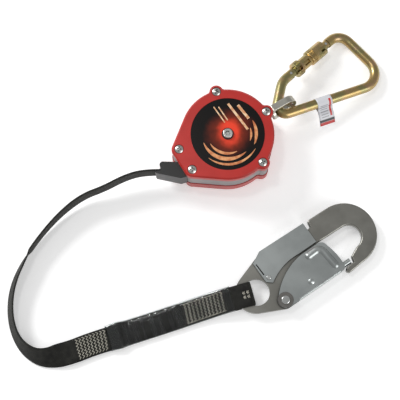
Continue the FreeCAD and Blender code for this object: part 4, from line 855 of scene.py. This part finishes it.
def joined_marks(name, strips, finish):
    """Several strips in one mesh, each facing up."""
    verts, faces = [], []
    for rows in strips:
        base = sum(len(v) for v in verts)
        count, width = rows.shape[:2]
        a, b = np.meshgrid(np.arange(count - 1), np.arange(width - 1), indexing="ij")
        corners = [a * width + b, a * width + b + 1, (a + 1) * width + b + 1, (a + 1) * width + b]
        verts.append(rows.reshape(-1, 3))
        faces.append(np.stack(corners, axis=-1).reshape(-1, 4) + base)
    mesh = bpy.data.meshes.new(name)
    mesh.from_pydata(np.concatenate(verts).tolist(), [], np.concatenate(faces).tolist())
    mesh.update()
    if mesh.polygons[0].normal.z < 0:
        mesh.flip_normals()
    made = place_piece(mesh, name, "housing", finish)


crescents = [
    crescent(0.0275, -160, -45, 0.0042),
    crescent(0.0215, -150, -62, 0.0030),
    crescent(0.0335, -128, -28, 0.0026),
    crescent(0.0305, -22, 30, 0.0034),
    crescent(0.0250, -18, 16, 0.0022),
]
joined_marks("decal_wave_marks", crescents, ink_tan)
bars = [
    plain_bar((-0.0150, 0.0300), (-0.0030, 0.0125), 0.0013),
    plain_bar((-0.0098, 0.0300), (0.0000, 0.0150), 0.0013),
    plain_bar((0.0005, 0.0335), (0.0215, 0.0050), 0.0026),
    plain_bar((0.0110, 0.0320), (0.0225, 0.0170), 0.0030),
]
joined_marks("decal_plain_bars", bars, ink_cream)


# ------------------------------------------------------------------ tag on the carabiner


# The carabiner's own plane: from its pivot it heads 35.75 degrees round and drops 22.4 mm in 123.5 mm.
bearing, dip = math.radians(35.75), math.asin(0.0224 / 0.1235)
ahead = np.array([math.cos(bearing), math.sin(bearing), 0.0])
p_way = ahead * math.cos(dip) - np.array([0.0, 0.0, math.sin(dip)])
q_way = np.array([-ahead[1], ahead[0], 0.0])
n_way = np.cross(p_way, q_way)
PIVOT = np.array([0.0579298, 0.0309578, 0.0282])
# The spine's two corners along p_way and q_way from the pivot, and how far along it the tag starts.
SPINE_FROM = (-0.0098, -0.0024)
SPINE_TO = (0.1275, -0.0366)
TAG_AT = 0.0505
spine_way = unit(p_way * (SPINE_TO[0] - SPINE_FROM[0]) + q_way * (SPINE_TO[1] - SPINE_FROM[1]))
spine_left = np.cross(n_way, spine_way)
tag_start = PIVOT + p_way * SPINE_FROM[0] + q_way * SPINE_FROM[1] + spine_way * TAG_AT

TAG_WIDTH = 0.018
TAG_TAIL = 0.0210
TAG_PRINT = 0.0375
TAG_THICK = 0.0005
TAG_DROOP = math.radians(31.0)


def tag_piece():
    """A vinyl strap: most of a circle round the rod, then two plies that run out from it side by side. They
    start 2.6 mm off the tail's middle, close on it in the first fifth, and curl by a small sine."""
    out = -spine_left * math.cos(TAG_DROOP) - n_way * math.sin(TAG_DROOP)
    over = np.cross(out, spine_way)
    around = np.radians(np.linspace(-332, -28, 40))
    loop = [(out * math.cos(t) - over * math.sin(t)) * (ROD_R + 0.0004) for t in around]
    share = np.linspace(0, 1, 26)
    reach = (ROD_R * 0.92 + share * TAG_TAIL)[:, None] * out
    curl = 0.0016 * np.sin(share * 3.6)
    apart = 0.00042 + 0.0022 * (1 - smooth_step(share * 5))
    top_ply = reach + (curl + apart)[:, None] * over
    low_ply = reach + (curl - apart)[:, None] * over
    path = np.concatenate([low_ply[::-1], loop, top_ply])
    run = run_lengths(path)
    width = np.linspace(0.0, TAG_WIDTH, 12)
    rows = tag_start + path[:, None] + spine_way[None, None] * width[None, :, None]
    # The print is on the top ply only, and its foot is at the tag's free end.
    down = np.where(run > run[-1] / 2, TAG_PRINT - (run[-1] - run), 0.0)
    uv = np.stack(np.broadcast_arrays(width[None, :], down[:, None]), axis=-1)
    made = surface("printed_tag", rows, "carabiner", tag_print, uv)
    solid = made.modifiers.new("thickness", "SOLIDIFY")
    solid.thickness = TAG_THICK
    solid.offset = 0.0
    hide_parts("carabiner_tag")


tag_piece()


# ------------------------------------------------------------------ floor


def studio_paper():
    """Matt white paper lit from below: a faint glow of its own and slow, barely seen clouds."""
    made, tree, shader = finish_material(
        "backlit_studio_paper", 0.9, Emission_Strength=0.30, Emission_Color="#FFFFFF"
    )
    place = add(tree, "TexCoord", "Object")
    cloud = add(tree, "TexNoise", "Fac", Vector=place, Scale=MM / 180.0, Detail=3.0)
    tint = add(tree, "Mix", 2, RGBA, i0=cloud, i6="#F2F2F2", i7="#F6F6F6")
    wire(tree, shader, Base_Color=tint)
    return made


# The sheet lies a hair under the object, so that nothing flickers where they meet.
FLOOR_HALF, FLOOR_Z = 4.0, -0.0003
corners = [(x * FLOOR_HALF, y * FLOOR_HALF, FLOOR_Z) for x, y in ((-1, -1), (1, -1), (1, 1), (-1, 1))]
floor_mesh = bpy.data.meshes.new("floor")
floor_mesh.from_pydata(corners, [], [(0, 1, 2, 3)])
floor_mesh.materials.append(studio_paper())
floor = bpy.data.objects.new("floor", floor_mesh)
scene.collection.objects.link(floor)
